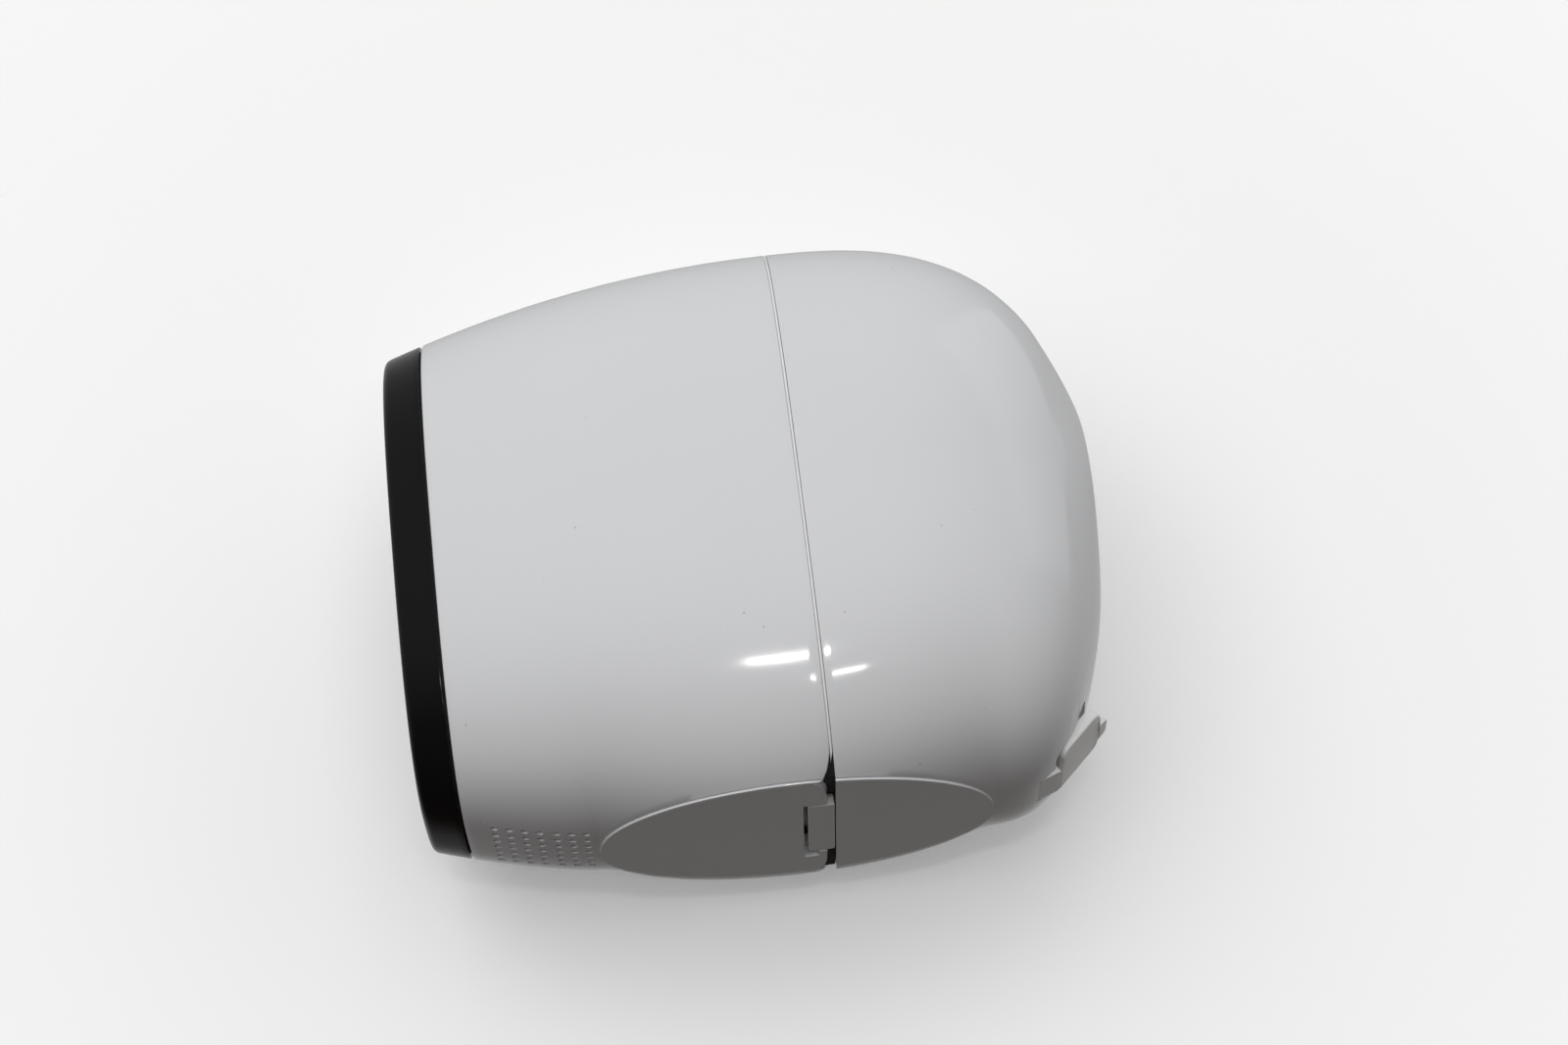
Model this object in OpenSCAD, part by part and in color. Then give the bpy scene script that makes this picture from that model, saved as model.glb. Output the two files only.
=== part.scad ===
// Wire-free security camera: an egg-shaped body in two shells that part at a seam.
// X is the width, Y runs from the lens face (-Y) to the rear, Z is up. Millimetres.
// The origin lies on the flat foot, at the middle of the body's length.

/* [Body] */
// Overall length, lens face to rear rim
body_l = 79.3; // [72:0.1:96]
// Greatest width
body_w = 48.6; // [40:0.1:60]
// Overall height, foot to crown
body_h = 70.5; // [58:0.1:86]
// Length of the battery door behind the seam
door_l = 33.9; // [30:0.1:41]
// Height of the widest line above the foot
axis_h = 33.5; // [28:0.1:38]
// Wall of both shells
wall = 2.0; // [1.6:0.1:2.4]
// Gap between the two shells at the seam
seam_gap = 0.8; // [0.5:0.1:1.2]

/* [Lens face] */
// Width of the lens face
face_w = 37.2; // [31:0.1:44]
// Height of the lens face
face_h = 58.2; // [49:0.1:60]
// Depth of the black bezel band
bezel_d = 4.3; // [3.6:0.1:6]
// Thickness of the dark window plate
window_t = 1.6; // [1.2:0.1:2]
// Radius of the clear lens cover
cover_r = 7.5; // [6:0.1:8.5]
// Radius of the motion sensor's domed lens
pir_r = 7.0; // [5.5:0.1:8]
// Height of the lens above the widest line
lens_up = 11.0; // [9:0.5:12]
// Drop of the motion sensor below the widest line
pir_down = 12.5; // [11:0.5:14]

/* [Foot] */
// Length of the oval foot
foot_l = 44.8; // [38:0.1:50]
// Width of the oval foot
foot_w = 29.0; // [24:0.1:33]
// Distance of the foot's widest point ahead of the seam
foot_ahead = 4.1; // [2:0.1:6]
// Height that the foot stands proud of the shells
foot_t = 0.3; // [0.2:0.1:0.5]

/* [Loudspeaker grille] */
// Holes along each side of the square grille
grille_n = 7; // [5:1:7]
// Hole to hole distance
grille_pitch = 1.65; // [1.4:0.05:1.75]
// Hole diameter
grille_hole = 0.85; // [0.6:0.05:1.1]
// Distance from the seam to the middle of the grille
grille_back = 32.5; // [31:0.1:33.5]

/* [Battery] */
// Depth of the battery pack, front to back
battery_t = 21.0; // [17:0.5:23]
// Distance from the outer surface to the battery's side
battery_inset = 6.6; // [6.6:0.1:8]
// Height of the battery's underside above the foot
battery_z = 9.4; // [9.4:0.1:12]
// Gap between the battery and its tray
battery_gap = 0.3; // [0.2:0.05:0.5]
// Wall of the battery tray
tray_wall = 1.2; // [1:0.1:1.6]

/* [Hinge and latch] */
// Radius of the hinge pin
pin_r = 0.75; // [0.6:0.05:0.85]
// Radius of the hinge knuckles
knuckle_r = 1.75; // [1.6:0.05:1.9]
// Length of the hinge, knuckles included
hinge_w = 15.0; // [12:0.5:17]
// Running clearance on the hinge pin
pin_gap = 0.05; // [0.03:0.01:0.08]
// Width of the latch button
latch_w = 14.0; // [11:0.5:16]
// Length of the latch button along the body
latch_l = 3.0; // [2.5:0.1:3.6]
// Travel of the latch button
latch_travel = 1.2; // [0.8:0.1:1.4]

/* [Rear seat] */
// Radius of the concave seat for a magnetic ball mount
dish_r = 9.4; // [8.5:0.1:10.5]
// Depth of the concave seat
dish_depth = 2.2; // [1.6:0.1:2.6]
// Radius of the tripod thread's minor diameter, 1/4 inch 20 thread
thread_r = 2.55; // [2.5:0.01:2.6]
// Length of the tripod thread
thread_l = 6.0; // [5:0.5:7]

/* [USB cover] */
// Width of the soft cover
cover_w = 11.0; // [10:0.5:13]
// Length of the soft cover from its fold to its free end
cover_l = 6.8; // [6.5:0.1:8.5]
// Thickness of the soft cover
cover_t = 1.5; // [1.2:0.1:1.8]
// Angle at which the cover stands ajar
ajar = 12; // [4:1:16]

/* [Sync button] */
// Radius of the button on the crown
sync_r = 4.5; // [3.5:0.1:5]
// Travel of the button
sync_travel = 0.4; // [0.3:0.1:0.5]

/* [Hidden] */

$fn = 48;
eps = 0.01;
big = 200;
slack = 0.15;                       // clearance of one plastic part in another

// Places along the length
rear_y = body_l / 2;
front_y = -rear_y;
seam_y = rear_y - door_l;
shell_l = body_l - door_l;
half_gap = seam_gap / 2;
bezel_y = front_y + bezel_d;
seal_t = 0.25;
housing_y = bezel_y + seal_t;

// Shape of the outer surface
ring_n = 48;                        // corners of one cross-section
crown_n = 2.25;                     // superellipse power of the upper half
keel_n = 2.75;                      // and of the lower half
rise = 3.2;                         // climb of the widest line towards the rear
crown_h = body_h - axis_h;
foot_y = seam_y - foot_ahead;
foot_front = foot_y - foot_l / 2;
foot_rear = foot_y + foot_l / 2;
face_low = axis_h - face_h / 2;

function front_t(y) = max(0, (seam_y - y) / shell_l);
function rear_t(y) = min(1, max(0, (y - seam_y) / door_l));
function dome(t, p) = pow(max(0, 1 - pow(t, p)), 1 / p);

// Half width, and heights above and below the widest line, of the cross-section at y
function mid_z(y) = axis_h + rise * pow(rear_t(y), 2.3);
function half_w(y) = y <= seam_y
    ? body_w / 2 - (body_w - face_w) / 2 * pow(front_t(y), 2.05)
    : body_w / 2 * dome(rear_t(y), 2.8);
function up_h(y) = y <= seam_y
    ? crown_h - (crown_h - face_h / 2) * pow(front_t(y), 2)
    : crown_h * dome(rear_t(y), 2.5);
function foot_half(y) = let(t = (y - foot_y) / (foot_l / 2))
    foot_w / 2 * sqrt(max(0, 1 - t * t));
function low_h(y) =
    y <= foot_front ? mid_z(y) - foot_t
        - (face_low - foot_t) * pow((foot_front - y) / (foot_front - front_y), 1.4)
    : y < foot_rear ? (mid_z(y) - foot_t)
        / pow(1 - pow(foot_half(y) / half_w(y), keel_n), 1 / keel_n)
    : (mid_z(y) - foot_t)
        * pow(max(0, 1 - pow(min(1, (y - foot_rear) / (rear_y - foot_rear)), 2.6)), 1 / 1.9);

// The same three sizes at a depth of k below the surface
function sizes(y, k) = y <= seam_y
    ? [half_w(y) - k, up_h(y) - k, low_h(y) - k, mid_z(y)]
    : let(e = seam_y + (y - seam_y) * door_l / (door_l - k), low0 = low_h(seam_y))
      [half_w(e) * (1 - 2 * k / body_w), up_h(e) * (1 - k / crown_h),
       low_h(e) * (1 - k / low0), mid_z(e)];
function spow(v, p) = sign(v) * pow(abs(v), p);
function rim_point(s, a) = [
    s[0] * spow(cos(a), 2 / (sin(a) > 0 ? crown_n : keel_n)),
    s[3] + (sin(a) > 0 ? s[1] : s[2]) * spow(sin(a), 2 / (sin(a) > 0 ? crown_n : keel_n))
];
function outline(y, k) = let(s = sizes(y, k))
    [for (i = [0:ring_n - 1]) rim_point(s, 360 * i / ring_n)];

// Solid skinned over cross-sections, each given as [y, depth below the surface]
module loft(rows) {
    m = len(rows);
    points = [for (r = rows) for (p = outline(r[0], r[1])) [p[0], r[0], p[1]]];
    front = [for (i = [ring_n - 1:-1:0]) i];
    rear = [for (i = [0:ring_n - 1]) (m - 1) * ring_n + i];
    sides = [for (j = [0:m - 2]) for (i = [0:ring_n - 1])
        let(a = j * ring_n + i, b = j * ring_n + (i + 1) % ring_n)
        for (f = [[a, b, b + ring_n], [a, b + ring_n, a + ring_n]]) f];
    polyhedron(points, concat([front], sides, [rear]));
}

// Straight prism of the cross-section at y, at depth k, from y0 to y1
module prism(y, k, y0, y1)
    translate([0, y1, 0]) rotate([90, 0, 0]) linear_extrude(y1 - y0) polygon(outline(y, k));

// Cylinder along Y from y0 to y1
module rod(r, x, z, y0, y1)
    translate([x, y0, z]) rotate([-90, 0, 0]) cylinder(r = r, h = y1 - y0);

// Block given by its two corners
module block(a, b) translate(a) cube(b - a);

module under(z) block([-big, -big, z - big], [big, big, z]);
module above(z) block([-big, -big, z], [big, big, z + big]);
module ahead(y) block([-big, y - big, -big], [big, y, big]);
module behind(y) block([-big, y, -big], [big, y + big, big]);

// Rounded block centred on x, lying in XZ, from y0 to y1
module pad(w, h, r, z, y0, y1)
    translate([0, y1, z]) rotate([90, 0, 0]) linear_extrude(y1 - y0) {
        square([w - 2 * r, h], center = true);
        square([w, h - 2 * r], center = true);
        for (x = [-1, 1], v = [-1, 1]) translate([x * (w / 2 - r), v * (h / 2 - r)]) circle(r);
    }

// Stations along each shell
front_rows = 11;
door_rows = 12;
front_end = seam_y - half_gap;
door_start = seam_y + half_gap;
pole_angle = 80;                    // the last ring lies inside the rear seat
function front_ys(y0, y1) = [for (i = [0:front_rows - 1]) y0 + (y1 - y0) * i / (front_rows - 1)];
function door_ys(k) = [for (i = [0:door_rows - 1])
    let(a = pole_angle * i / (door_rows - 1)) door_start + (rear_y - k - door_start) * sin(a)];

// ---------------------------------------------------------------- foot
floor_z = foot_t + wall;

// The oval, from z0 to z1, from y0 to y1
foot_steps = 36;
module foot_oval(z0, z1, y0, y1) {
    ys = [for (i = [0:foot_steps]) foot_y - foot_l / 2 * cos(180 * i / foot_steps)];
    side = [for (y = ys) [foot_half(y), y]];
    other = [for (i = [foot_steps - 1:-1:1]) [-foot_half(ys[i]), ys[i]]];
    intersection() {
        translate([0, 0, z0]) linear_extrude(z1 - z0) polygon(concat(side, other));
        block([-big, y0, -big], [big, y1, big]);
    }
}

// ---------------------------------------------------------------- lens face
lip = 2.0;                          // frame left around the window
ledge = 3.4;                        // inset of the ledge that the window rests on
hollow = 2.7;                       // inset of the bezel's inside
window_sink = 0.3;                  // window face behind the bezel's front
window_y = front_y + window_sink;
ledge_y = window_y + window_t;
ledge_t = 1.0;
edge_r = 0.7;                       // rounded front edge of the bezel
spigot_l = 3.0;
board_y = front_y + 11.6;           // front of the sensor board
board_t = 1.0;
board_k = 3.6;                      // inset of the sensor board's edge
lens_z = axis_h + lens_up;
pir_z = axis_h - pir_down;
status_z = axis_h - 2;
light_z = axis_h + 24;
mic_x = 8;
mic_z = axis_h - 20.2;
boss_r = 2.0;
screw_r = 0.8;
face_boss = [for (a = [38, 142, 218, 322]) rim_point(sizes(front_y, hollow + 1.6), a)];
speaker_w = 12.6;
speaker_y = seam_y - grille_back;
collar_w = speaker_w + 2 * slack + 2 * 1.0;

module front_bezel() color("#0c0c0e") {
    difference() {
        union() {
            loft([[front_y, edge_r], [front_y + 0.3 * edge_r, 0.3 * edge_r],
                  [front_y + edge_r, 0], [(front_y + bezel_y) / 2, 0], [bezel_y, 0]]);
            loft([[bezel_y - 1, wall + slack], [bezel_y + spigot_l, wall + slack]]);
        }
        prism(front_y, lip, front_y - 1, ledge_y);
        prism(front_y, ledge, front_y - 1, bezel_y + spigot_l + 1);
        prism(front_y, hollow, ledge_y + ledge_t, bezel_y + spigot_l + 1);
        // Room for the loudspeaker's collar
        block([-collar_w / 2 - 0.5, bezel_y + 0.4, -1], [collar_w / 2 + 0.5, big, axis_h / 2]);
    }
    for (p = face_boss) difference() {
        rod(boss_r, p[0], p[1], ledge_y, board_y);
        rod(screw_r, p[0], p[1], ledge_y + 3, board_y + 1);
    }
}

window_gap = 0.1;
ring_r = cover_r + 1.7;
ring_hole = ring_r + window_gap;
module front_window() color("#101014") difference() {
    prism(front_y, lip + window_gap, window_y, ledge_y);
    rod(ring_hole, 0, lens_z, window_y - 1, ledge_y + 1);
    rod(pir_r + window_gap, 0, pir_z, window_y - 1, ledge_y + 1);
    rod(0.9, 0, status_z, window_y - 1, ledge_y + 1);
    rod(1.6, 0, light_z, window_y - 1, ledge_y + 1);
    rod(0.5, mic_x, mic_z, window_y - 1, ledge_y + 1);
}

module bezel_seal() color("#2a2a2a") difference() {
    prism(bezel_y, 0.6, bezel_y, housing_y);
    prism(bezel_y, wall - 0.1, bezel_y - 1, housing_y + 1);
}

ring_y = front_y;
cover_t0 = 1.0;
module lens_ring() color("#3a3a3e") difference() {
    union() {
        rod(ring_r, 0, lens_z, ring_y, ledge_y + 0.8);
        rod(ring_r + 0.9, 0, lens_z, ledge_y, ledge_y + 0.8);
    }
    rod(cover_r + 0.05, 0, lens_z, ring_y - 1, ring_y + 0.4 + cover_t0);
    rod(cover_r - 0.8, 0, lens_z, ring_y, ledge_y + 2);
}

cover_y = ring_y + 0.4;
module lens_cover() color("#bfd0d8") rod(cover_r, 0, lens_z, cover_y, cover_y + cover_t0);

barrel_r = 5.2;
barrel_y = cover_y + cover_t0 + 0.5;
holder_w = 13.0;
holder_l = 4.5;
holder_y = board_y - holder_l;
glass_r = 4.0;
module lens_barrel() color("#161616") difference() {
    union() {
        rod(barrel_r, 0, lens_z, barrel_y, holder_y);
        rod(barrel_r - 0.9, 0, lens_z, holder_y - eps, board_y - 1.6);
    }
    rod(glass_r, 0, lens_z, barrel_y - 1, barrel_y + 2.0);
    rod(2.2, 0, lens_z, barrel_y, board_y);
}
module front_lens() color("#2c3a5a") intersection() {
    rod(glass_r - 0.05, 0, lens_z, barrel_y + 0.3, barrel_y + 2.0);
    translate([0, barrel_y + 0.3 + 8, lens_z]) sphere(r = 8);
}
module lens_holder() color("#1d1d1f") difference() {
    pad(holder_w, holder_w, 1, lens_z, holder_y, board_y);
    rod(barrel_r - 0.85, 0, lens_z, holder_y - 1, board_y + 1);
    pad(9, 9, 0.5, lens_z, board_y - 1.4, board_y + 1);
}
module image_sensor() color("#3b3f46") pad(8, 8, 0.3, lens_z, board_y - 0.9, board_y);

dome_r = 12;
dome_sag = dome_r - sqrt(dome_r * dome_r - pir_r * pir_r);
flange_r = pir_r + 1;
module pir_cap(r, dr) intersection() {
    rod(dr, 0, pir_z, front_y, ledge_y + 0.7);
    translate([0, front_y + dome_r, pir_z]) sphere(r = r);
}
module pir_lens() color("#e9e9e6") difference() {
    union() {
        pir_cap(dome_r, pir_r);
        rod(pir_r, 0, pir_z, front_y + dome_sag, ledge_y + 0.7);
        rod(flange_r, 0, pir_z, ledge_y, ledge_y + 0.7);
    }
    intersection() {
        rod(pir_r - 0.8, 0, pir_z, front_y, ledge_y + 2);
        union() {
            translate([0, front_y + dome_r, pir_z]) sphere(r = dome_r - 0.8);
            rod(pir_r, 0, pir_z, front_y + dome_sag + 0.8, ledge_y + 2);
        }
    }
}
module pir_sensor() color("#b8b8b2") difference() {
    union() {
        rod(4.1, 0, pir_z, board_y - 4, board_y - 0.6);
        rod(4.6, 0, pir_z, board_y - 0.6, board_y);
    }
    block([-1.6, board_y - 5, pir_z - 1.2], [1.6, board_y - 3.6, pir_z + 1.2]);
}

led_count = 8;
led_ring_r = 10.6;
led_w = 2.6;
module infrared_leds() color("#3d2a2a")
    for (i = [0:led_count - 1]) let(a = -22.5 + 225 * i / (led_count - 1))
        translate([led_ring_r * cos(a), 0, lens_z + led_ring_r * sin(a)])
            difference() {
                block([-led_w / 2, board_y - 1.6, -led_w / 2], [led_w / 2, board_y, led_w / 2]);
                rod(0.9, 0, 0, board_y - 2, board_y - 1);
            }
module status_light_pipe() color("#dfe8ee") rod(0.8, 0, status_z, window_y, board_y - 0.6);
module light_sensor() color("#22262c") {
    rod(1.5, 0, light_z, window_y + 0.2, board_y - 1.0);
    block([-1.8, board_y - 1.0, light_z - 1.4], [1.8, board_y, light_z + 1.4]);
}
module microphone() color("#c9b37a") translate([mic_x, 0, mic_z])
    block([-1.6, board_y - 1.1, -1.3], [1.6, board_y, 1.3]);
module microphone_boot() color("#1b1b1b") translate([mic_x, 0, mic_z]) difference() {
    block([-1.4, ledge_y, -1.2], [1.4, board_y - 1.1, 1.2]);
    rod(0.45, 0, 0, ledge_y - 1, board_y);
}

// ---------------------------------------------------------------- circuit boards
speaker_seat = 6.0;                 // height of the loudspeaker's seat
mesh_t = 0.15;
gasket_t = 0.5;
speaker_h = 4.0;
speaker_top = speaker_seat + mesh_t + gasket_t + speaker_h;
board_low = speaker_top + 0.8;
module sensor_board() color("#1f5a38") difference() {
    prism(front_y, board_k, board_y, board_y + board_t);
    under(board_low);
    for (p = face_boss) rod(screw_r + 0.1, p[0], p[1], board_y - 1, board_y + 2);
    rod(0.6, 8, axis_h, board_y - 1, board_y + 2);
}
head_r = 1.5;
head_t = 0.9;
module sensor_board_screws() color("#b9bcc0") for (p = face_boss) {
    rod(head_r, p[0], p[1], board_y + board_t, board_y + board_t + 1);
    rod(screw_r - 0.05, p[0], p[1], board_y - 3.5, board_y + board_t);
}

main_y = board_y + 8.2;             // front of the main board
main_t = 1.2;
main_w = 29;
main_h = 38;
main_z = axis_h + 1.5;
main_screw = [main_w / 2 - 2.6, main_h / 2 - 2.6];
tab_top = body_h - 13.0;
module main_board() color("#1f5a38") difference() {
    union() {
        pad(main_w, main_h, 1.5, main_z, main_y, main_y + main_t);
        block([-5, main_y, main_z], [5, main_y + main_t, tab_top]);
    }
    for (x = [-1, 1], v = [-1, 1])
        rod(screw_r + 0.1, x * main_screw[0], main_z + v * main_screw[1], main_y - 1, main_y + 2);
}
module main_board_screws() color("#b9bcc0") for (x = [-1, 1], v = [-1, 1]) {
    rod(head_r, x * main_screw[0], main_z + v * main_screw[1], main_y - 1, main_y);
    rod(screw_r - 0.05, x * main_screw[0], main_z + v * main_screw[1], main_y, main_y + 4);
}
can_w = 18;
can_h = 15;
module shield_can() color("#c3c6c9") difference() {
    pad(can_w, can_h, 0.8, main_z + 7.5, main_y - 2.2, main_y);
    pad(can_w - 0.6, can_h - 0.6, 0.6, main_z + 7.5, main_y - 1.9, main_y + 1);
}

// Flat cable folded in a loop between the two boards
cable_w = 8;
cable_t = 0.2;
plug_h = 1.0;
plug_l = 3.2;
loop_front = board_y + board_t + plug_h;
loop_rear = main_y - plug_h;
loop_r = (loop_rear - loop_front) / 2;
loop_z = main_z - 7;
tail = 4.0;
module board_connectors() color("#e6e0cf") {
    block([-cable_w / 2 - 1, board_y + board_t, loop_z - tail],
          [cable_w / 2 + 1, loop_front, loop_z - tail + plug_l]);
    block([-cable_w / 2 - 1, loop_rear, loop_z - tail],
          [cable_w / 2 + 1, main_y, loop_z - tail + plug_l]);
}
module ribbon_cable() color("#b5762c") translate([-cable_w / 2, (loop_front + loop_rear) / 2, loop_z])
    rotate([90, 0, 90]) linear_extrude(cable_w) {
        difference() {
            circle(loop_r);
            circle(loop_r - cable_t);
            translate([-loop_r - 1, -loop_r - 1]) square([2 * loop_r + 2, loop_r + 1]);
        }
        for (x = [-loop_r, loop_r - cable_t]) translate([x, -tail]) square([cable_t, tail + eps]);
    }

// ---------------------------------------------------------------- chassis and battery
battery_front = seam_y - battery_t / 2 - 5;
tray_y = battery_front - 1.0;       // the pins fill this space
plate_t = 1.5;
plate_y = tray_y - plate_t;
plate_k = wall + 1.0;
tray_k = battery_inset - battery_gap - tray_wall;
tray_end = seam_y - 1.2;
tray_low = battery_z - battery_gap - tray_wall;
battery_top = body_h - 8.0;
chassis_angle = [58, 122, 227, 313];
chassis_k = battery_inset + head_r + 0.3;
chassis_screw = [for (a = chassis_angle) rim_point(sizes(seam_y, chassis_k), a)];
post_r = 2.0;

// Frame on the lower rear of the door: Y climbs its surface, Z points out of it,
// and X is the fold of the cover
port_slope = 56;
port_rear = seam_y + 25.9 / 33.9 * door_l;
fold_out = 0.5;                     // fold line outside the door's surface
port_at = [0, port_rear, mid_z(port_rear) - low_h(port_rear)];
module on_port() translate(port_at) rotate([port_slope, 0, 0]) mirror([0, 0, 1]) children();

usb_w = 7.5;
usb_h = 2.6;
usb_l = 5.2;
usb_deep = 4.4;                     // mouth of the port below the door's surface
usb_up = 3.5;                       // port's middle above the cover's fold
usb_floor = usb_up - usb_h / 2;
usb_board_t = 1.0;
usb_board_l = 8.0;
usb_board_end = usb_deep + usb_board_l;
tongue_w = 12.4;
tongue_t = 1.6;
tongue_z = battery_z - battery_gap - tray_wall - tongue_t;
tongue_end = seam_y + 18.5 / 33.9 * door_l;

// Level strip below the tray, and the cradle that carries the port's board
module cable_tongue() {
    block([-tongue_w / 2, tray_y, tongue_z], [tongue_w / 2, tongue_end, tongue_z + tongue_t]);
    intersection() {
        on_port() block([-tongue_w / 2, usb_floor - usb_board_t - 2.6, -usb_board_end],
                        [tongue_w / 2, usb_floor - usb_board_t, -usb_deep - 2.6]);
        block([-big, tongue_end - 5, tongue_z], [big, tongue_end + 1.6, big]);
    }
}

module chassis() color("#55585c") difference() {
    union() {
        intersection() {
            prism(plate_y, plate_k, plate_y, tray_y);
            above(floor_z + 0.5);
        }
        difference() {
            intersection() {
                prism(seam_y, tray_k, tray_y - eps, tray_end);
                above(tray_low);
                under(battery_top + battery_gap + tray_wall);
            }
            intersection() {
                prism(seam_y, tray_k + tray_wall, tray_y, tray_end + 1);
                above(tray_low + tray_wall);
                under(battery_top + battery_gap);
            }
        }
        for (x = [-1, 1], v = [-1, 1])
            rod(post_r, x * main_screw[0], main_z + v * main_screw[1], main_y + main_t, plate_y + eps);
        cable_tongue();
    }
    for (x = [-1, 1], v = [-1, 1])
        rod(screw_r, x * main_screw[0], main_z + v * main_screw[1], main_y, plate_y + 0.4);
    for (p = chassis_screw) {
        rod(screw_r + 0.2, p[0], p[1], plate_y - 1, tray_y + 1);
        rod(head_r + 0.1, p[0], p[1], tray_y - head_t, tray_y + 1);
    }
    // Window for the contact block
    block([-7, plate_y - 1, axis_h - 4], [7, tray_y + 1, axis_h + 2]);
}
module chassis_screws() color("#b9bcc0") for (p = chassis_screw) {
    rod(head_r, p[0], p[1], tray_y - head_t, tray_y);
    rod(screw_r - 0.05, p[0], p[1], plate_y - 5, tray_y - head_t);
}
module antennas() color("#c8a24a") for (x = [-1, 1])
    block([x * 4.7 - 3.5, plate_y - 0.4, axis_h + 17], [x * 4.7 + 3.5, plate_y, axis_h + 21.5]);
pins_n = 4;
pin_step = 3.0;
module contact_block() color("#1c1c1c") difference() {
    block([-6.8, plate_y - 1.6, axis_h - 3.8], [6.8, tray_y, axis_h + 1.8]);
    for (i = [0:pins_n - 1])
        rod(0.65, (i - (pins_n - 1) / 2) * pin_step, axis_h - 1, plate_y - 3, tray_y + 1);
}
module contact_pins() color("#d8b04a") for (i = [0:pins_n - 1])
    rod(0.6, (i - (pins_n - 1) / 2) * pin_step, axis_h - 1, plate_y - 1.6, battery_front - 0.1);

module battery_pack() color("#2b2d31") difference() {
    intersection() {
        prism(seam_y, battery_inset, battery_front, battery_front + battery_t);
        above(battery_z);
        under(battery_top);
    }
    block([-7, battery_front - 1, axis_h - 3], [7, battery_front + 0.8, axis_h + 1]);
    // Finger scoop in the rear face
    translate([0, battery_front + battery_t + 7, battery_top - 14]) sphere(r = 9.2);
}
module battery_contacts() color("#d8b04a") for (i = [0:pins_n - 1])
    translate([(i - (pins_n - 1) / 2) * pin_step, 0, axis_h - 1])
        block([-1.1, battery_front + 0.1, -1.6], [1.1, battery_front + 0.8, 1.6]);

// ---------------------------------------------------------------- front housing
hinge_z = body_h - knuckle_r - 0.05;
hinge_relief = knuckle_r + 0.7;
relief_w = 19.0;                    // crown of the shells that lies above the hinge axis
door_knuckle = 6.0;
knuckle_gap = 0.2;
grille_step = 0.2;                  // wider gap behind the fourth row

latch_y = seam_y + 0.1 - latch_l;   // front edge of the button
latch_rear = latch_y + latch_l;
slot_t = 0.5;                       // slot ahead of the button
latch_side = 0.3;
arm_w = 10.4;
arm_l = 9.0;
arm_z = floor_z + 0.1;
arm_t = 1.2;
guide_x = 3.8;
guide_y = seam_y - 6.4;
guide_r = 0.9;
boss_l = 11;

sync_y = main_y - 2.0;
sync_top = axis_h + up_h(sync_y);
button_gap = 0.3;
sync_boss_r = sync_r + 0.7 + button_gap + 1.0;

module hinge_cut() translate([-relief_w / 2, seam_y, hinge_z]) rotate([0, 90, 0])
    cylinder(r = hinge_relief, h = relief_w);
module knuckle(x0, x1) translate([x0, seam_y, hinge_z]) rotate([0, 90, 0])
    cylinder(r = knuckle_r, h = x1 - x0);
// Leaf that joins a knuckle to its shell
leaf_l = 4.5;
module leaf(x0, x1, y0, y1)
    block([x0, seam_y + y0, hinge_z - knuckle_r + 0.25], [x1, seam_y + y1, hinge_z - 0.2]);
module knuckle_bore() translate([-hinge_w, seam_y, hinge_z]) rotate([0, 90, 0])
    cylinder(r = pin_r + pin_gap, h = 2 * hinge_w);

module grille_holes() for (i = [0:grille_n - 1], j = [0:grille_n - 1])
    let(row = i - (grille_n - 1) / 2, shift = (row > 0.5 ? 0.5 : -0.5) * grille_step)
    translate([(j - (grille_n - 1) / 2) * grille_pitch, speaker_y + row * grille_pitch + shift, -1])
        cylinder(d = grille_hole, h = speaker_seat, $fn = 10);

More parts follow.
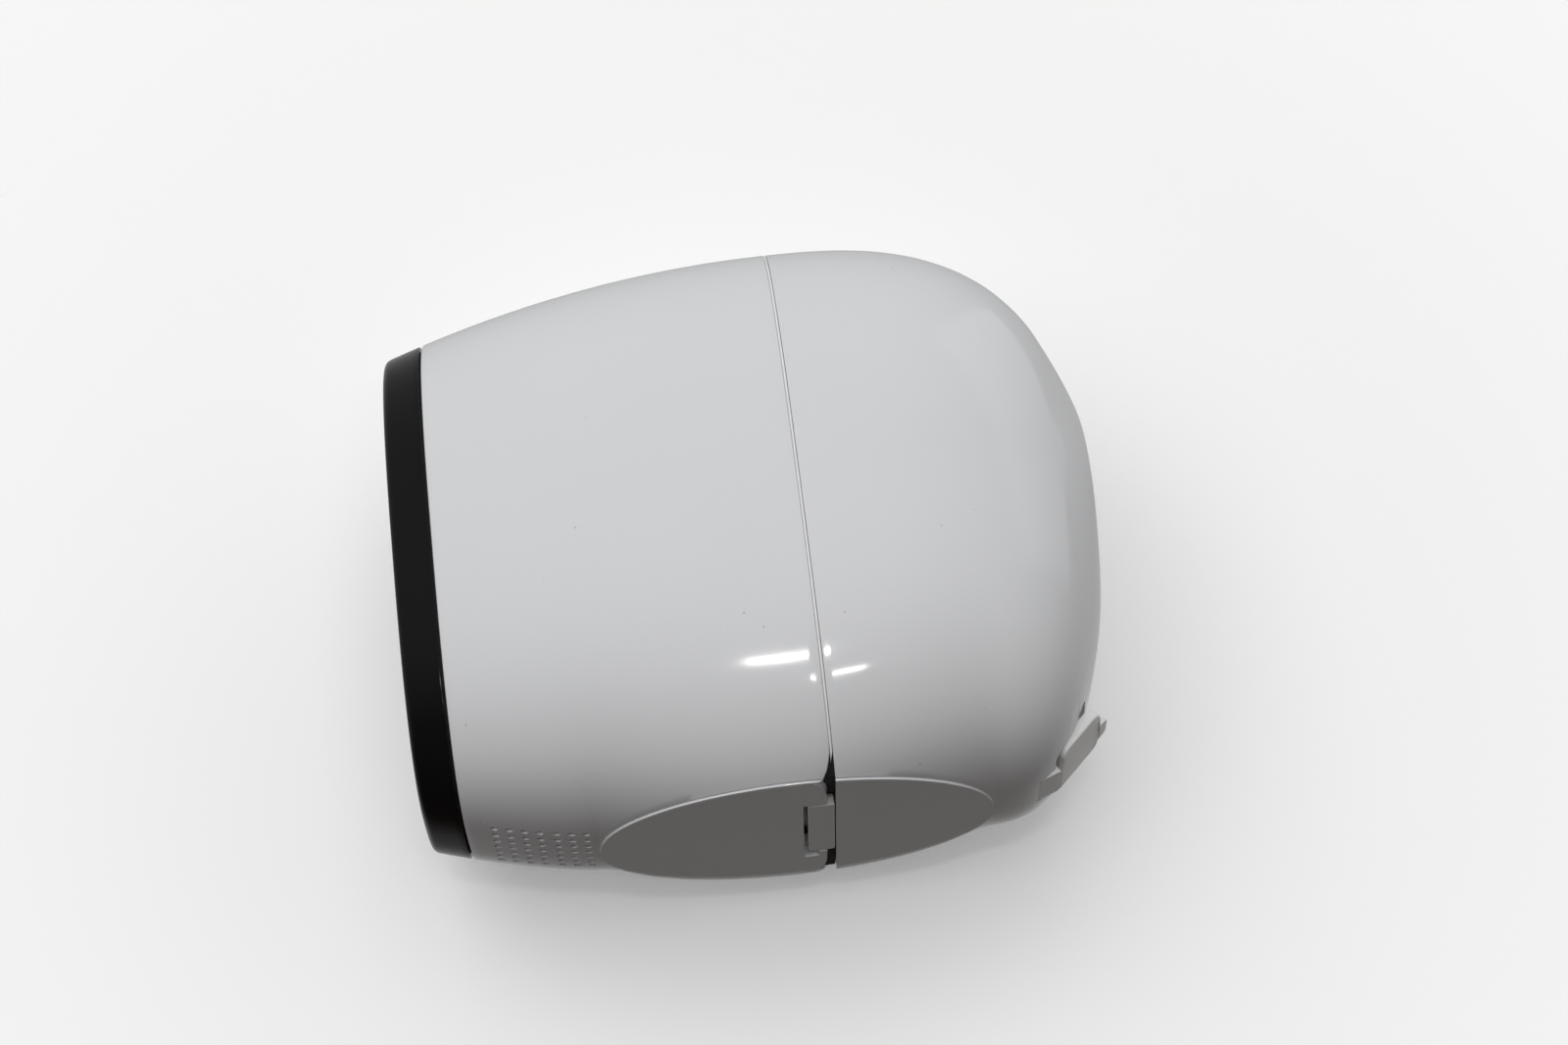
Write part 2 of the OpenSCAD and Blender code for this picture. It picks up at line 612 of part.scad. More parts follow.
module front_shell(k) loft([for (y = front_ys(housing_y, front_end)) [y, k]]);
module front_housing() color("#eef0f2") difference() {
    union() {
        difference() {
            front_shell(0);
            under(foot_t);
            intersection() {
                loft(concat([[housing_y - 0.5, wall]],
                            [for (y = front_ys(housing_y, front_end)) [y, wall]],
                            [[seam_y, wall]]));
                above(floor_z);
            }
        }
        foot_oval(0, foot_t + 0.5, foot_front, front_end);
        intersection() {
            front_shell(0.8);
            above(foot_t + 0.5);
            union() {
                // Bosses for the chassis screws
                for (p = chassis_screw) {
                    rod(post_r + 0.3, p[0], p[1], plate_y - boss_l, plate_y);
                    block([p[0] - 0.8, plate_y - boss_l, p[1] > axis_h ? p[1] : 0],
                          [p[0] + 0.8, plate_y, p[1] > axis_h ? body_h : p[1]]);
                }
                // Collar of the loudspeaker
                block([-collar_w / 2, speaker_y - collar_w / 2, 0],
                      [collar_w / 2, speaker_y + collar_w / 2, speaker_top]);
                // Sleeve of the sync button
                translate([0, sync_y, sync_top - 6.2]) cylinder(r = sync_boss_r, h = 6.2);
                // Posts that guide the latch
                for (x = [-1, 1]) translate([x * guide_x, guide_y, floor_z - 0.6])
                    cylinder(r = guide_r, h = tongue_z - floor_z + 0.2);
            }
        }
        for (x = [-1, 1]) {
            a = door_knuckle / 2 + knuckle_gap;
            b = hinge_w / 2;
            knuckle(x > 0 ? a : -b, x > 0 ? b : -a);
            leaf(x > 0 ? a : -b, x > 0 ? b : -a, -leaf_l, 0);
        }
    }
    // Crown that would foul the door, cut round the knuckles only
    difference() {
        hinge_cut();
        for (x = [-1, 1]) {
            a = door_knuckle / 2 + knuckle_gap;
            b = hinge_w / 2;
            knuckle(x > 0 ? a : -b, x > 0 ? b : -a);
            leaf(x > 0 ? a : -b, x > 0 ? b : -a, -leaf_l, 0);
        }
    }
    knuckle_bore();
    for (p = chassis_screw) rod(screw_r, p[0], p[1], plate_y - 6, plate_y + 1);
    grille_holes();
    block([-speaker_w / 2 - slack, speaker_y - speaker_w / 2 - slack, speaker_seat],
          [speaker_w / 2 + slack, speaker_y + speaker_w / 2 + slack, big / 4]);
    block([-speaker_w / 2 + 0.8, speaker_y - speaker_w / 2 + 0.8, speaker_seat - 1.4],
          [speaker_w / 2 - 0.8, speaker_y + speaker_w / 2 - 0.8, speaker_seat + 1]);
    block([-latch_w / 2 - latch_side, latch_y - slot_t, -1],
          [latch_w / 2 + latch_side, seam_y + 1, floor_z + 0.5]);
    translate([0, sync_y, sync_top - 8]) cylinder(r = sync_r + button_gap, h = 12);
    translate([0, sync_y, sync_top - 8]) cylinder(r = sync_r + 0.7 + button_gap, h = 8 - 3.0);
}

module speaker_mesh() color("#777b80") translate([0, speaker_y, speaker_seat])
    block([-speaker_w / 2, -speaker_w / 2, 0], [speaker_w / 2, speaker_w / 2, mesh_t]);
module speaker_gasket() color("#1e1e1e") translate([0, speaker_y, speaker_seat + mesh_t])
    difference() {
        block([-speaker_w / 2, -speaker_w / 2, 0], [speaker_w / 2, speaker_w / 2, gasket_t]);
        block([-speaker_w / 2 + 1, -speaker_w / 2 + 1, -1],
              [speaker_w / 2 - 1, speaker_w / 2 - 1, 1]);
    }
module speaker() color("#33363a") translate([0, speaker_y, speaker_seat + mesh_t + gasket_t])
    difference() {
        union() {
            block([-speaker_w / 2, -speaker_w / 2, 0],
                  [speaker_w / 2, speaker_w / 2, speaker_h - 1.2]);
            cylinder(r = 4.4, h = speaker_h);
        }
        translate([0, 0, -1]) cylinder(r = 5.2, h = 2);
    }

gasket_k = 0.35;                    // gasket face below the shells' surface
gasket_w = 1.3;
gasket_thick = 0.5;
module seam_gasket() color("#c9ccd0") difference() {
    prism(seam_y, gasket_k, front_end, front_end + gasket_thick);
    prism(seam_y, gasket_k + gasket_w, front_end - 1, seam_y + 1);
    under(floor_z + 1.2);
    block([-relief_w / 2 - 0.3, front_end - 1, hinge_z - knuckle_r - 0.6],
          [relief_w / 2 + 0.3, seam_y + 2, big]);
}

// ---------------------------------------------------------------- latch
nose_l = 2.4;
module latch_button() color("#e4e6e8") difference() {
    union() {
        block([-latch_w / 2, latch_y, 0], [latch_w / 2, latch_rear, 1.5]);
        block([-arm_w / 2, latch_y + 0.3, 1.4], [arm_w / 2, latch_rear - 0.3, arm_z + arm_t]);
        block([-arm_w / 2, seam_y - arm_l, arm_z], [arm_w / 2, latch_rear - 0.3, arm_z + arm_t]);
        block([-4, latch_y + 1, arm_z + 0.9], [4, seam_y + nose_l, arm_z + 1.9]);
        block([-4, seam_y + nose_l - 0.8, floor_z + 0.75], [4, seam_y + nose_l, arm_z + 1.9]);
    }
    for (x = [-1, 1]) translate([x * guide_x, guide_y, 0])
        cylinder(r = guide_r + 0.08, h = 10);
}

spring_r = 1.5;
spring_wire = 0.3;
spring_turns = 4;
spring_sides = 6;
spring_steps = 14;
spring_low = arm_z + arm_t + spring_wire / 2;
spring_high = tongue_z - spring_wire / 2;
module latch_spring() color("#a9adb2") translate([0, guide_y, 0]) {
    n = spring_turns * spring_steps;
    points = [for (i = [0:n]) let(a = 360 * i / spring_steps,
            z = spring_low + (spring_high - spring_low) * i / n)
        for (j = [0:spring_sides - 1]) let(b = 360 * j / spring_sides,
            r = spring_r + spring_wire / 2 * cos(b))
            [r * cos(a), r * sin(a), z + spring_wire / 2 * sin(b)]];
    sides = [for (i = [0:n - 1]) for (j = [0:spring_sides - 1])
        let(p = i * spring_sides + j, q = i * spring_sides + (j + 1) % spring_sides)
        for (f = [[p, q, q + spring_sides], [p, q + spring_sides, p + spring_sides]]) f];
    polyhedron(points, concat([[for (j = [spring_sides - 1:-1:0]) j]], sides,
                              [[for (j = [0:spring_sides - 1]) n * spring_sides + j]]));
}

// ---------------------------------------------------------------- sync button
switch_h = 3.6;
switch_top = tab_top;
plunger_h = 0.8;
stem_gap = sync_travel + 0.1;
module sync_button() color("#f2f3f5") translate([0, sync_y, 0]) {
    translate([0, 0, sync_top - 4.0]) cylinder(r = sync_r, h = 4.0 - 0.1);
    translate([0, 0, sync_top - 4.0]) cylinder(r = sync_r + 0.7, h = 0.8);
    translate([0, 0, switch_top + plunger_h + stem_gap])
        cylinder(r = 1.3, h = sync_top - 4.0 - switch_top - plunger_h - stem_gap + eps);
}
module sync_switch() color("#8d9196") {
    block([-3, main_y - 3.6, switch_top - switch_h], [3, main_y, switch_top]);
    translate([0, sync_y, switch_top - eps]) cylinder(r = 1.0, h = plunger_h);
}

// ---------------------------------------------------------------- charging port
module usb_board() color("#1f5a38") on_port()
    block([-5.6, usb_floor - usb_board_t, -usb_board_end], [5.6, usb_floor, -usb_deep - 0.6]);
module usb_port() color("#b9bcc0") on_port() difference() {
    block([-usb_w / 2, usb_floor, -usb_deep - usb_l], [usb_w / 2, usb_floor + usb_h, -usb_deep]);
    block([-usb_w / 2 + 0.35, usb_floor + 0.35, -usb_deep - usb_l + 0.8],
          [usb_w / 2 - 0.35, usb_floor + usb_h - 0.35, -usb_deep + 1]);
}
module usb_board_screws() color("#b9bcc0") on_port() for (x = [-1, 1])
    translate([x * 4.2, usb_floor, -usb_board_end + 1.4]) rotate([-90, 0, 0])
        cylinder(r = 0.9, h = 0.6);

// ---------------------------------------------------------------- battery door
dish_z = mid_z(rear_y);
rim_w = 0.8;
plate_thick = 0.8;
sphere_r = (dish_r * dish_r + dish_depth * dish_depth) / (2 * dish_depth);
insert_r = 4.2;
open_w = 10.2;
open_l = 5.0;
cover_out = 0.1 + fold_out;         // closed cover's outer face outside the surface
strap_slope = 33;
strap_w = 6.0;
strap_l = 3.2;
module on_strap() translate(port_at) rotate([strap_slope, 0, 0]) mirror([0, 0, 1]) children();

module dish_ball(r, extra) translate([0, rear_y - dish_depth + sphere_r, dish_z])
    sphere(r = sphere_r + extra, $fn = 96);

module battery_door() color("#eef0f2") difference() {
    union() {
        difference() {
            loft([for (y = door_ys(0)) [y, 0]]);
            under(foot_t);
            intersection() {
                loft(concat([[seam_y - 0.5, wall]], [for (y = door_ys(wall)) [y, wall]]));
                above(floor_z);
            }
        }
        foot_oval(0, foot_t + 0.5, door_start, foot_rear);
        rod(dish_r + rim_w, 0, dish_z, rear_y - dish_depth - plate_thick - 1.6, rear_y);
        rod(insert_r + 1.2, 0, dish_z, rear_y - dish_depth - thread_l - 1.4, rear_y - dish_depth - 1);
        intersection() {
            loft([for (y = door_ys(0)) [y, 0.8]]);
            block([-4.5, seam_y + 0.6, floor_z - 0.5], [4.5, seam_y + 1.3, floor_z + 0.65]);
        }
        knuckle(-door_knuckle / 2, door_knuckle / 2);
        leaf(-door_knuckle / 2, door_knuckle / 2, 0, leaf_l);
        // Frame of the charging opening
        on_port() block([-open_w / 2 - 1.4, usb_up - open_l / 2 - 1.2, -2.8],
                        [open_w / 2 + 1.4, usb_up + open_l / 2 + 1.2, -0.9]);
    }
    difference() {
        hinge_cut();
        knuckle(-door_knuckle / 2, door_knuckle / 2);
        leaf(-door_knuckle / 2, door_knuckle / 2, 0, leaf_l);
    }
    knuckle_bore();
    intersection() {
        rod(dish_r, 0, dish_z, rear_y - 6, rear_y + 1);
        dish_ball(sphere_r, plate_thick);
    }
    rod(insert_r + 0.02, 0, dish_z, rear_y - dish_depth - thread_l - 0.1, rear_y);
    on_port() {
        block([-open_w / 2, usb_up - open_l / 2, -4], [open_w / 2, usb_up + open_l / 2, 5]);
        // Recess that the closed cover lies in
        block([-cover_w / 2 - 0.3, -0.7, cover_out - cover_t - 0.3],
              [cover_w / 2 + 0.3, cover_l + 0.6, 6]);
    }
    on_strap() block([-strap_w / 2 - 0.05, -strap_l - 0.05, -0.85], [strap_w / 2 + 0.05, 1, 6]);
}

module dish_plate() color("#c9cbce") difference() {
    intersection() {
        rod(dish_r - 0.05, 0, dish_z, rear_y - 6, rear_y - 0.25);
        dish_ball(sphere_r, plate_thick - 0.04);
    }
    dish_ball(sphere_r, 0);
    rod(insert_r + 0.02, 0, dish_z, rear_y - 8, rear_y + 1);
}
module tripod_insert() color("#c9a14a") difference() {
    rod(insert_r, 0, dish_z, rear_y - dish_depth - thread_l, rear_y - dish_depth);
    rod(thread_r, 0, dish_z, rear_y - dish_depth - thread_l - 1, rear_y + 1);
}

// Strap that the cover folds on, glued in its pocket in the door
module usb_strap() color("#e7e9eb") on_strap()
    block([-strap_w / 2, -strap_l, -0.8], [strap_w / 2, -0.4, 0.3]);

// Soft cover, ajar
module usb_cover() color("#e7e9eb") on_port() translate([0, 0, fold_out]) rotate([ajar, 0, 0])
    translate([0, 0, -fold_out]) {
        block([-cover_w / 2, 0, cover_out - cover_t], [cover_w / 2, cover_l, cover_out]);
        block([-open_w / 2 + 0.6, usb_up - open_l / 2 + 0.6, cover_out - cover_t - 0.9],
              [open_w / 2 - 0.6, usb_up + open_l / 2 - 0.7, cover_out - cover_t + 0.1]);
        block([-2.0, cover_l - 0.5, cover_out - 0.7], [2.0, cover_l + 1.2, cover_out]);
    }
module hinge_pin() color("#b9bcc0") translate([-hinge_w / 2, seam_y, hinge_z]) rotate([0, 90, 0])
    cylinder(r = pin_r, h = hinge_w);

front_bezel();
front_window();
bezel_seal();
lens_ring();
lens_cover();
lens_barrel();
front_lens();
lens_holder();
image_sensor();
pir_lens();
pir_sensor();
infrared_leds();
status_light_pipe();
light_sensor();
microphone();
microphone_boot();
sensor_board();
sensor_board_screws();
ribbon_cable();
board_connectors();
main_board();
shield_can();
main_board_screws();
front_housing();
speaker_mesh();
speaker_gasket();
speaker();
chassis();
chassis_screws();
antennas();
contact_block();
contact_pins();
battery_pack();
battery_contacts();
seam_gasket();
latch_button();
latch_spring();
sync_button();
sync_switch();
usb_board();
usb_port();
usb_board_screws();
hinge_pin();
battery_door();
dish_plate();
tripod_insert();
usb_strap();
usb_cover();
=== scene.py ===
from math import asin, copysign, cos, hypot, pi, radians, sin, sqrt

import bmesh
import bpy
import numpy as np
from mathutils import Matrix, Vector


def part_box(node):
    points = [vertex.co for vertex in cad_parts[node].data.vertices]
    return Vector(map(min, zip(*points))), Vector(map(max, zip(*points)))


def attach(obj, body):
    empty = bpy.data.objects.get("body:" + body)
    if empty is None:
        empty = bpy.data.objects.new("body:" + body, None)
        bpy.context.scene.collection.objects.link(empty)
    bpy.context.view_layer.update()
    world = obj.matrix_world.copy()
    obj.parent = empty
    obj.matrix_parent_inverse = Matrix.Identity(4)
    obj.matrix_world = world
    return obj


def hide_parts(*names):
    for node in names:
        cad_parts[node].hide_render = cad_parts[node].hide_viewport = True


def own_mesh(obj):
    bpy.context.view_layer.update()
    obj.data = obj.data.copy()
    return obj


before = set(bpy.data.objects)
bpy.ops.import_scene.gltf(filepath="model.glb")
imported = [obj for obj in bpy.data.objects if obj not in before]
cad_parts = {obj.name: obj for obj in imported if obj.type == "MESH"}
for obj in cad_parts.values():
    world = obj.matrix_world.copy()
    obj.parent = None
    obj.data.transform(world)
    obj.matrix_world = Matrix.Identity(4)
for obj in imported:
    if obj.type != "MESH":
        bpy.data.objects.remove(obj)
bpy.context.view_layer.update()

# ---------------- front housing
# The white front shell, injection moulded in glossy ABS: an egg cut off flat at the lens
# face, with the front half of the oval foot, the speaker grille, the latch slot and the
# hinge's two outer knuckles moulded in one piece. Everything else is fixed inside it.
front_y, seam_y, rear_y = -39.65, 5.75, 39.65
housing_y, front_end, door_start = -35.1, 5.62, 5.98
wide, crown_h, axis_h = 24.3, 37.0, 33.5
face_wide, face_up, face_low = 18.6, 29.1, 4.4
foot_y, foot_l, foot_w, foot_t = 1.65, 22.4, 14.5, 0.3
foot_front, foot_rear = foot_y - foot_l, foot_y + foot_l
wall, floor_z = 2.0, 2.3
button_y, speaker_y = -21.85, -26.75


def dome(t, p):
    return max(0.0, 1 - t ** p) ** (1 / p)


def foot_half(y, inset=0.0):
    t = (y - foot_y) / (foot_l - inset)
    return (foot_w - inset) * sqrt(max(0.0, 1 - t * t))


def low_h(y, mid, half):
    if y <= foot_front:
        return mid - foot_t - (face_low - foot_t) * ((foot_front - y) / (foot_front - front_y)) ** 1.4
    if y < foot_rear:
        return (mid - foot_t) / (1 - (foot_half(y) / half) ** 2.75) ** (1 / 2.75)
    v = min(1.0, (y - foot_rear) / (rear_y - foot_rear))
    return (mid - foot_t) * max(0.0, 1 - v ** 2.6) ** (1 / 1.9)


def body_at(y):
    """Half width, height above and below the widest line, and that line's height, at y."""
    if y <= seam_y:
        t = (seam_y - y) / (seam_y - front_y)
        mid, half = axis_h, wide - (wide - face_wide) * t ** 2.05
        up = crown_h - (crown_h - face_up) * t ** 2
    else:
        t = min(1.0, (y - seam_y) / (rear_y - seam_y))
        mid, half, up = axis_h + 3.2 * t ** 2.3, wide * dome(t, 2.8), crown_h * dome(t, 2.5)
    return half, up, low_h(y, mid, half), mid


def body_under(y, k):
    """The same four sizes at a depth of k below the surface."""
    if y <= seam_y:
        half, up, low, mid = body_at(y)
        return half - k, up - k, low - k, mid
    reach = rear_y - seam_y
    half, up, low, mid = body_at(seam_y + (y - seam_y) * reach / (reach - k))
    return (half * (1 - k / wide), up * (1 - k / crown_h), low * (1 - k / body_at(seam_y)[2]), mid)


def rim(y, k, floor=None, pad=0.0, side=84, flat=12):
    """Closed cross-section at y: crown, left flank, foot, right flank. pad is how far the foot stands proud."""
    half, up, low, mid = body_under(y, k)
    edge, start = 0.0, -pi / 2
    depth = None if floor is None else mid - floor
    if depth is not None and depth < low:
        edge = half * (1 - (depth / low) ** 2.75) ** (1 / 2.75)
        start = -asin(min(1.0, (depth / low) ** 1.375))
    angles = start + (pi / 2 - start) * (np.arange(700) / 699.0)
    s, c = np.sin(angles), np.cos(angles).clip(0)
    power = np.where(s > 0, 2 / 2.25, 2 / 2.75)
    x = half * c ** power
    z = mid + np.where(s > 0, up, low) * np.sign(s) * np.abs(s) ** power
    x[-1] = 0.0
    x[0], z[0] = (edge, floor) if edge > 0 else (0.0, mid - low)
    run = np.concatenate([[0], np.cumsum(np.hypot(np.diff(x), np.diff(z)))])
    at = np.linspace(0, run[-1], side)
    flank = list(zip(np.interp(at, run, x), np.interp(at, run, z)))
    low_z = z[0]
    inner = foot_half(y, 0.22) - k if pad else edge
    if pad and edge > 0 and inner > 0.02:
        base, nose = floor - pad, min(0.1, inner / 3)
        wall_side = [(inner - nose, base), (inner - 0.3 * nose, base + 0.3 * nose), (inner, base + nose),
                     (inner, floor)]
    else:
        base, nose = low_z, 0.0
        inner = min(inner, edge) if edge > 0 and inner > 0 else 0.0
        wall_side = [(inner, low_z)] * 4
    sole = [((inner - nose) * j / flat, base) for j in range(flat)]
    right = sole + wall_side + flank
    return right + [(-p[0], p[1]) for p in reversed(right[1:-1])]


def linked(name, data):
    thing = bpy.data.objects.new(name, data)
    bpy.context.scene.collection.objects.link(thing)
    return thing


def solid(name, rows, capped=False):
    """Mesh object skinned over equal rows of points in millimetres: a ring of rows, or capped at both ends."""
    n = len(rows[0])
    mesh = bmesh.new()
    grid = [[mesh.verts.new([c * 0.001 for c in p]) for p in row] for row in rows]
    for a, b in zip(grid, grid[1:] if capped else grid[1:] + grid[:1]):
        for i in range(n):
            mesh.faces.new((a[i], a[(i + 1) % n], b[(i + 1) % n], b[i]))
    if capped:
        mesh.faces.new(grid[0][::-1])
        mesh.faces.new(grid[-1])
    bmesh.ops.remove_doubles(mesh, verts=mesh.verts, dist=2e-6)
    bmesh.ops.recalc_face_normals(mesh, faces=mesh.faces)
    data = bpy.data.meshes.new(name)
    mesh.to_mesh(data)
    mesh.free()
    return linked(name, data)


def shell_row(y, k, **sizes):
    return [(x, y, z) for x, z in rim(y, k, **sizes)]


def circle(steps):
    return [2 * pi * i / steps for i in range(steps)]


def turned(profile, centre, axis="Y", steps=64):
    """Rows of a turned shape. The profile gives radius and place along the axis, poles as radius 0."""
    cx, cz = centre
    rows = []
    for r, h in profile:
        row = []
        for a in circle(steps):
            u, v = max(r, 1e-5) * cos(a), max(r, 1e-5) * sin(a)
            row.append({"Y": (cx + u, h, cz + v), "Z": (cx + u, cz + v, h), "X": (h, cx + u, cz + v)}[axis])
        rows.append(row)
    return rows


def spun(name, profile, centre, axis="Y", steps=64):
    """Turned solid, capped at both ends of its profile."""
    return solid(name, turned(profile, centre, axis, steps), capped=True)


def rod(name, r, centre, h0, h1, axis="Y", steps=48):
    return spun(name, [(r, h0), (r, h1)], centre, axis, steps)


def moved(thing, place):
    """Puts a piece's mesh in another frame, with its faces still outward where that frame is mirrored."""
    thing.data.transform(place)
    if place.determinant() < 0:
        thing.data.flip_normals()
    return thing


def brick(name, low, high, place=None):
    """Block between two corners, for cutting or joining; place turns it into its own frame."""
    x, y, z = zip(low, high)
    rows = [[(x[0], b, z[0]), (x[1], b, z[0]), (x[1], b, z[1]), (x[0], b, z[1])] for b in y]
    thing = solid(name, rows, capped=True)
    return moved(thing, place) if place else thing


def settle(thing):
    """Bakes a piece's modifiers into its mesh."""
    bpy.context.view_layer.update()
    data = bpy.data.meshes.new_from_object(thing.evaluated_get(bpy.context.evaluated_depsgraph_get()))
    thing.modifiers.clear()
    thing.data = data
    return thing


def carve(thing, tool, how="DIFFERENCE", least=0.5):
    """Cuts one mesh with another, or adds it, and drops the tool. least is the share of faces that must remain."""
    before = len(thing.data.polygons)
    mod = thing.modifiers.new("carve", "BOOLEAN")
    mod.operation, mod.solver, mod.object = how, "MANIFOLD", tool
    data = settle(thing).data
    if len(data.polygons) <= least * before:
        raise RuntimeError(f"cutting {thing.name} with {tool.name} failed")
    bpy.data.objects.remove(tool)
    return thing


def fuse(thing, tool):
    return carve(thing, tool, "UNION")


def smooth(thing, angle=32):
    """Smooth shading with hard edges where two faces meet at more than the angle."""
    mesh = bmesh.new()
    mesh.from_mesh(thing.data)
    bmesh.ops.remove_doubles(mesh, verts=mesh.verts, dist=1.5e-6)
    limit = radians(angle)
    for f in mesh.faces:
        f.smooth = len(f.verts) < 9
    for e in mesh.edges:
        e.smooth = len(e.link_faces) == 2 and e.calc_face_angle(0.0) < limit
    mesh.to_mesh(thing.data)
    mesh.free()
    return thing


def mounted(thing, material, slot, body, *nodes):
    """Gives a piece its finish and its body, and hides the CAD nodes that it stands for."""
    thing.data.materials.clear()
    thing.data.materials.append(material)
    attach(thing, body)
    if nodes:
        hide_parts(*nodes)
    return thing


def feed(tree, node, inputs):
    """Gives a node's inputs their values, or links them to sockets or to the first output of other nodes."""
    for key, value in inputs.items():
        if isinstance(value, bpy.types.Node):
            value = value.outputs[0]
        if isinstance(value, bpy.types.NodeSocket):
            tree.links.new(value, node.inputs[key])
        else:
            node.inputs[key].default_value = value
    return node


def put(tree, kind, inputs=None, **settings):
    """Adds a node to a tree with its settings and inputs; a kind without "Node" in it is a shader node's."""
    node = tree.nodes.new(kind if "Node" in kind else "ShaderNode" + kind)
    for key, value in settings.items():
        setattr(node, key, value)
    return feed(tree, node, inputs or {})


def sums(tree, how, a, b):
    return put(tree, "Math", {0: a, 1: b}, operation=how)


def finish(name, colour, other, rough, grain, bump, **sockets):
    """Material whose colour drifts between two tones, with uneven gloss and a fine raised grain (grain in mm)."""
    material = bpy.data.materials.new(name)
    material.use_nodes = True
    tree = material.node_tree
    shader = tree.nodes["Principled BSDF"]
    feed(tree, shader, {socket.replace("_", " "): value for socket, value in sockets.items()})
    where = put(tree, "TexCoord").outputs["Object"]

    def noise(size, detail):
        return put(tree, "TexNoise", {"Scale": 1000 / size, "Detail": detail, "Vector": where})

    tone = put(tree, "Mix", {0: noise(grain * 14, 3), 6: (*colour, 1), 7: (*other, 1)}, data_type="RGBA")
    gloss = put(tree, "MapRange", {"Value": noise(grain * 5, 4), "From Min": 0.3, "From Max": 0.7,
                                             "To Min": rough[0], "To Max": rough[1]})
    relief = put(tree, "Bump", {"Strength": 1.0, "Distance": bump * 0.001, "Height": noise(grain, 5)})
    feed(tree, shader, {"Base Color": tone.outputs[2], "Roughness": gloss, "Normal": relief})
    return material


def scuffed(material, specks, scratches):
    """Adds dust specks and faint handling scratches to a gloss finish."""
    tree = material.node_tree
    shader = tree.nodes["Principled BSDF"]
    where = put(tree, "TexCoord").outputs["Object"]
    cells = put(tree, "TexVoronoi", {"Scale": 300, "Vector": where})
    size = put(tree, "SeparateColor", {"Color": cells.outputs["Color"]})
    inside = sums(tree, "LESS_THAN", cells.outputs["Distance"], sums(tree, "MULTIPLY", size, specks))
    clean, base = [shader.inputs[key].links[0].from_socket for key in ("Base Color", "Roughness")]
    dust = put(tree, "Mix", {0: sums(tree, "MULTIPLY", inside, 0.55), 6: clean, 7: (0.24, 0.22, 0.2, 1)},
               data_type="RGBA")
    turn = put(tree, "Mapping", {"Vector": where, "Rotation": (0.5, 0.4, 0.9), "Scale": (60, 1400, 900)})
    lines = put(tree, "TexNoise", {"Vector": turn, "Scale": 1.0, "Detail": 2})
    fine = put(tree, "MapRange", {"Value": lines, "From Min": 0.72, "From Max": 0.8, "To Max": scratches})
    feed(tree, shader, {"Base Color": dust.outputs[2], "Roughness": sums(tree, "ADD", base, fine)})
    return material


white_gloss = finish("white_gloss_abs", (0.66, 0.667, 0.68), (0.63, 0.638, 0.652), (0.09, 0.14), 3.0, 0.003,
                     IOR=1.52, Coat_Weight=0.25, Coat_Roughness=0.06)
scuffed(white_gloss, specks=0.042, scratches=0.12)

# Rows of the shell's outside and inside, with its edge at the seam rounded by bend
bend = 0.1


def corner(row, y_end):
    """Draws the shell's lower rear corners forward, in a quarter curve up the flank and across the foot."""
    out = []
    for x, y, z in row:
        near = max(0.0, 1 - (y_end - y) / 5.0)
        if z < 3.2 and abs(x) > 5.0 and near > 0:
            if z < 0.02:
                draw = 0.7 * min(1.0, (abs(x) - 5.0) / 2.2) + 1.8 * max(0.0, (abs(x) - 9.3) / 5.0) ** 3
            else:
                draw = 1.7 * (1 - sqrt(1 - (1 - min(z, 3.2) / 3.2) ** 2))
            y -= draw * near
        out.append((x, y, z))
    return out


sizes = dict(floor=foot_t, pad=foot_t)
plain = [housing_y + 0.3 + (foot_front - housing_y - 0.3) * i / 22 for i in range(23)]
sole = [foot_front + (front_end - bend - foot_front) * (1 - cos(pi / 2 * i / 36)) for i in range(1, 37)]
outside = [shell_row(housing_y, 0.22, **sizes), shell_row(housing_y + 0.07, 0.07, **sizes)]
outside += [shell_row(y, 0.0, **sizes) for y in plain + sole]
for a in [radians(d) for d in (22, 45, 67, 90)]:
    outside.append(shell_row(front_end - bend * (1 - sin(a)), bend * (1 - cos(a)), **sizes))
inside = [shell_row(front_end - (front_end - housing_y) * i / 40, wall, floor=floor_z) for i in range(41)]
housing = solid("front_housing_shell", [corner(r, front_end) for r in outside + inside])

# Bosses, ribs, speaker collar, button sleeve and latch posts inside it
crown_z = axis_h + body_at(button_y)[1]


def boss_places(k, degrees, y):
    half, up, low, mid = body_under(y, k)
    out = []
    for d in degrees:
        s, c = sin(radians(d)), cos(radians(d))
        p = 2 / 2.25 if s > 0 else 2 / 2.75
        out.append((half * copysign(abs(c) ** p, c),
                    mid + (up if s > 0 else low) * copysign(abs(s) ** p, s)))
    return out


def inside_only(tool, k, floor=foot_t + 0.5, ys=np.linspace(housing_y, front_end, 30)):
    """Trims a tool to the shell's own space at a depth of k."""
    keep = solid("keep", [shell_row(y, k, floor=floor) for y in ys], capped=True)
    return carve(tool, keep, "INTERSECT", 0)


chassis_screw_at = boss_places(8.4, (58, 122, 227, 313), seam_y)
for x, z in chassis_screw_at:
    boss = rod("boss", 2.3, (x, z), -23.25, -12.25)
    rib = brick("rib", (x - 0.8, -23.25, z if z > axis_h else 1.0), (x + 0.8, -12.25, 70.0 if z > axis_h else z))
    fuse(housing, inside_only(fuse(boss, rib), 0.8))
fuse(housing, inside_only(brick("collar", (-7.45, -34.2, 0.9), (7.45, -19.3, 10.65)), 0.8))
fuse(housing, inside_only(rod("sleeve", 6.5, (0, button_y), crown_z - 6.2, crown_z + 1, "Z"), 0.8))
for x in (-3.8, 3.8):
    fuse(housing, rod("post", 0.9, (x, -0.65), 1.7, 5.9, "Z"))

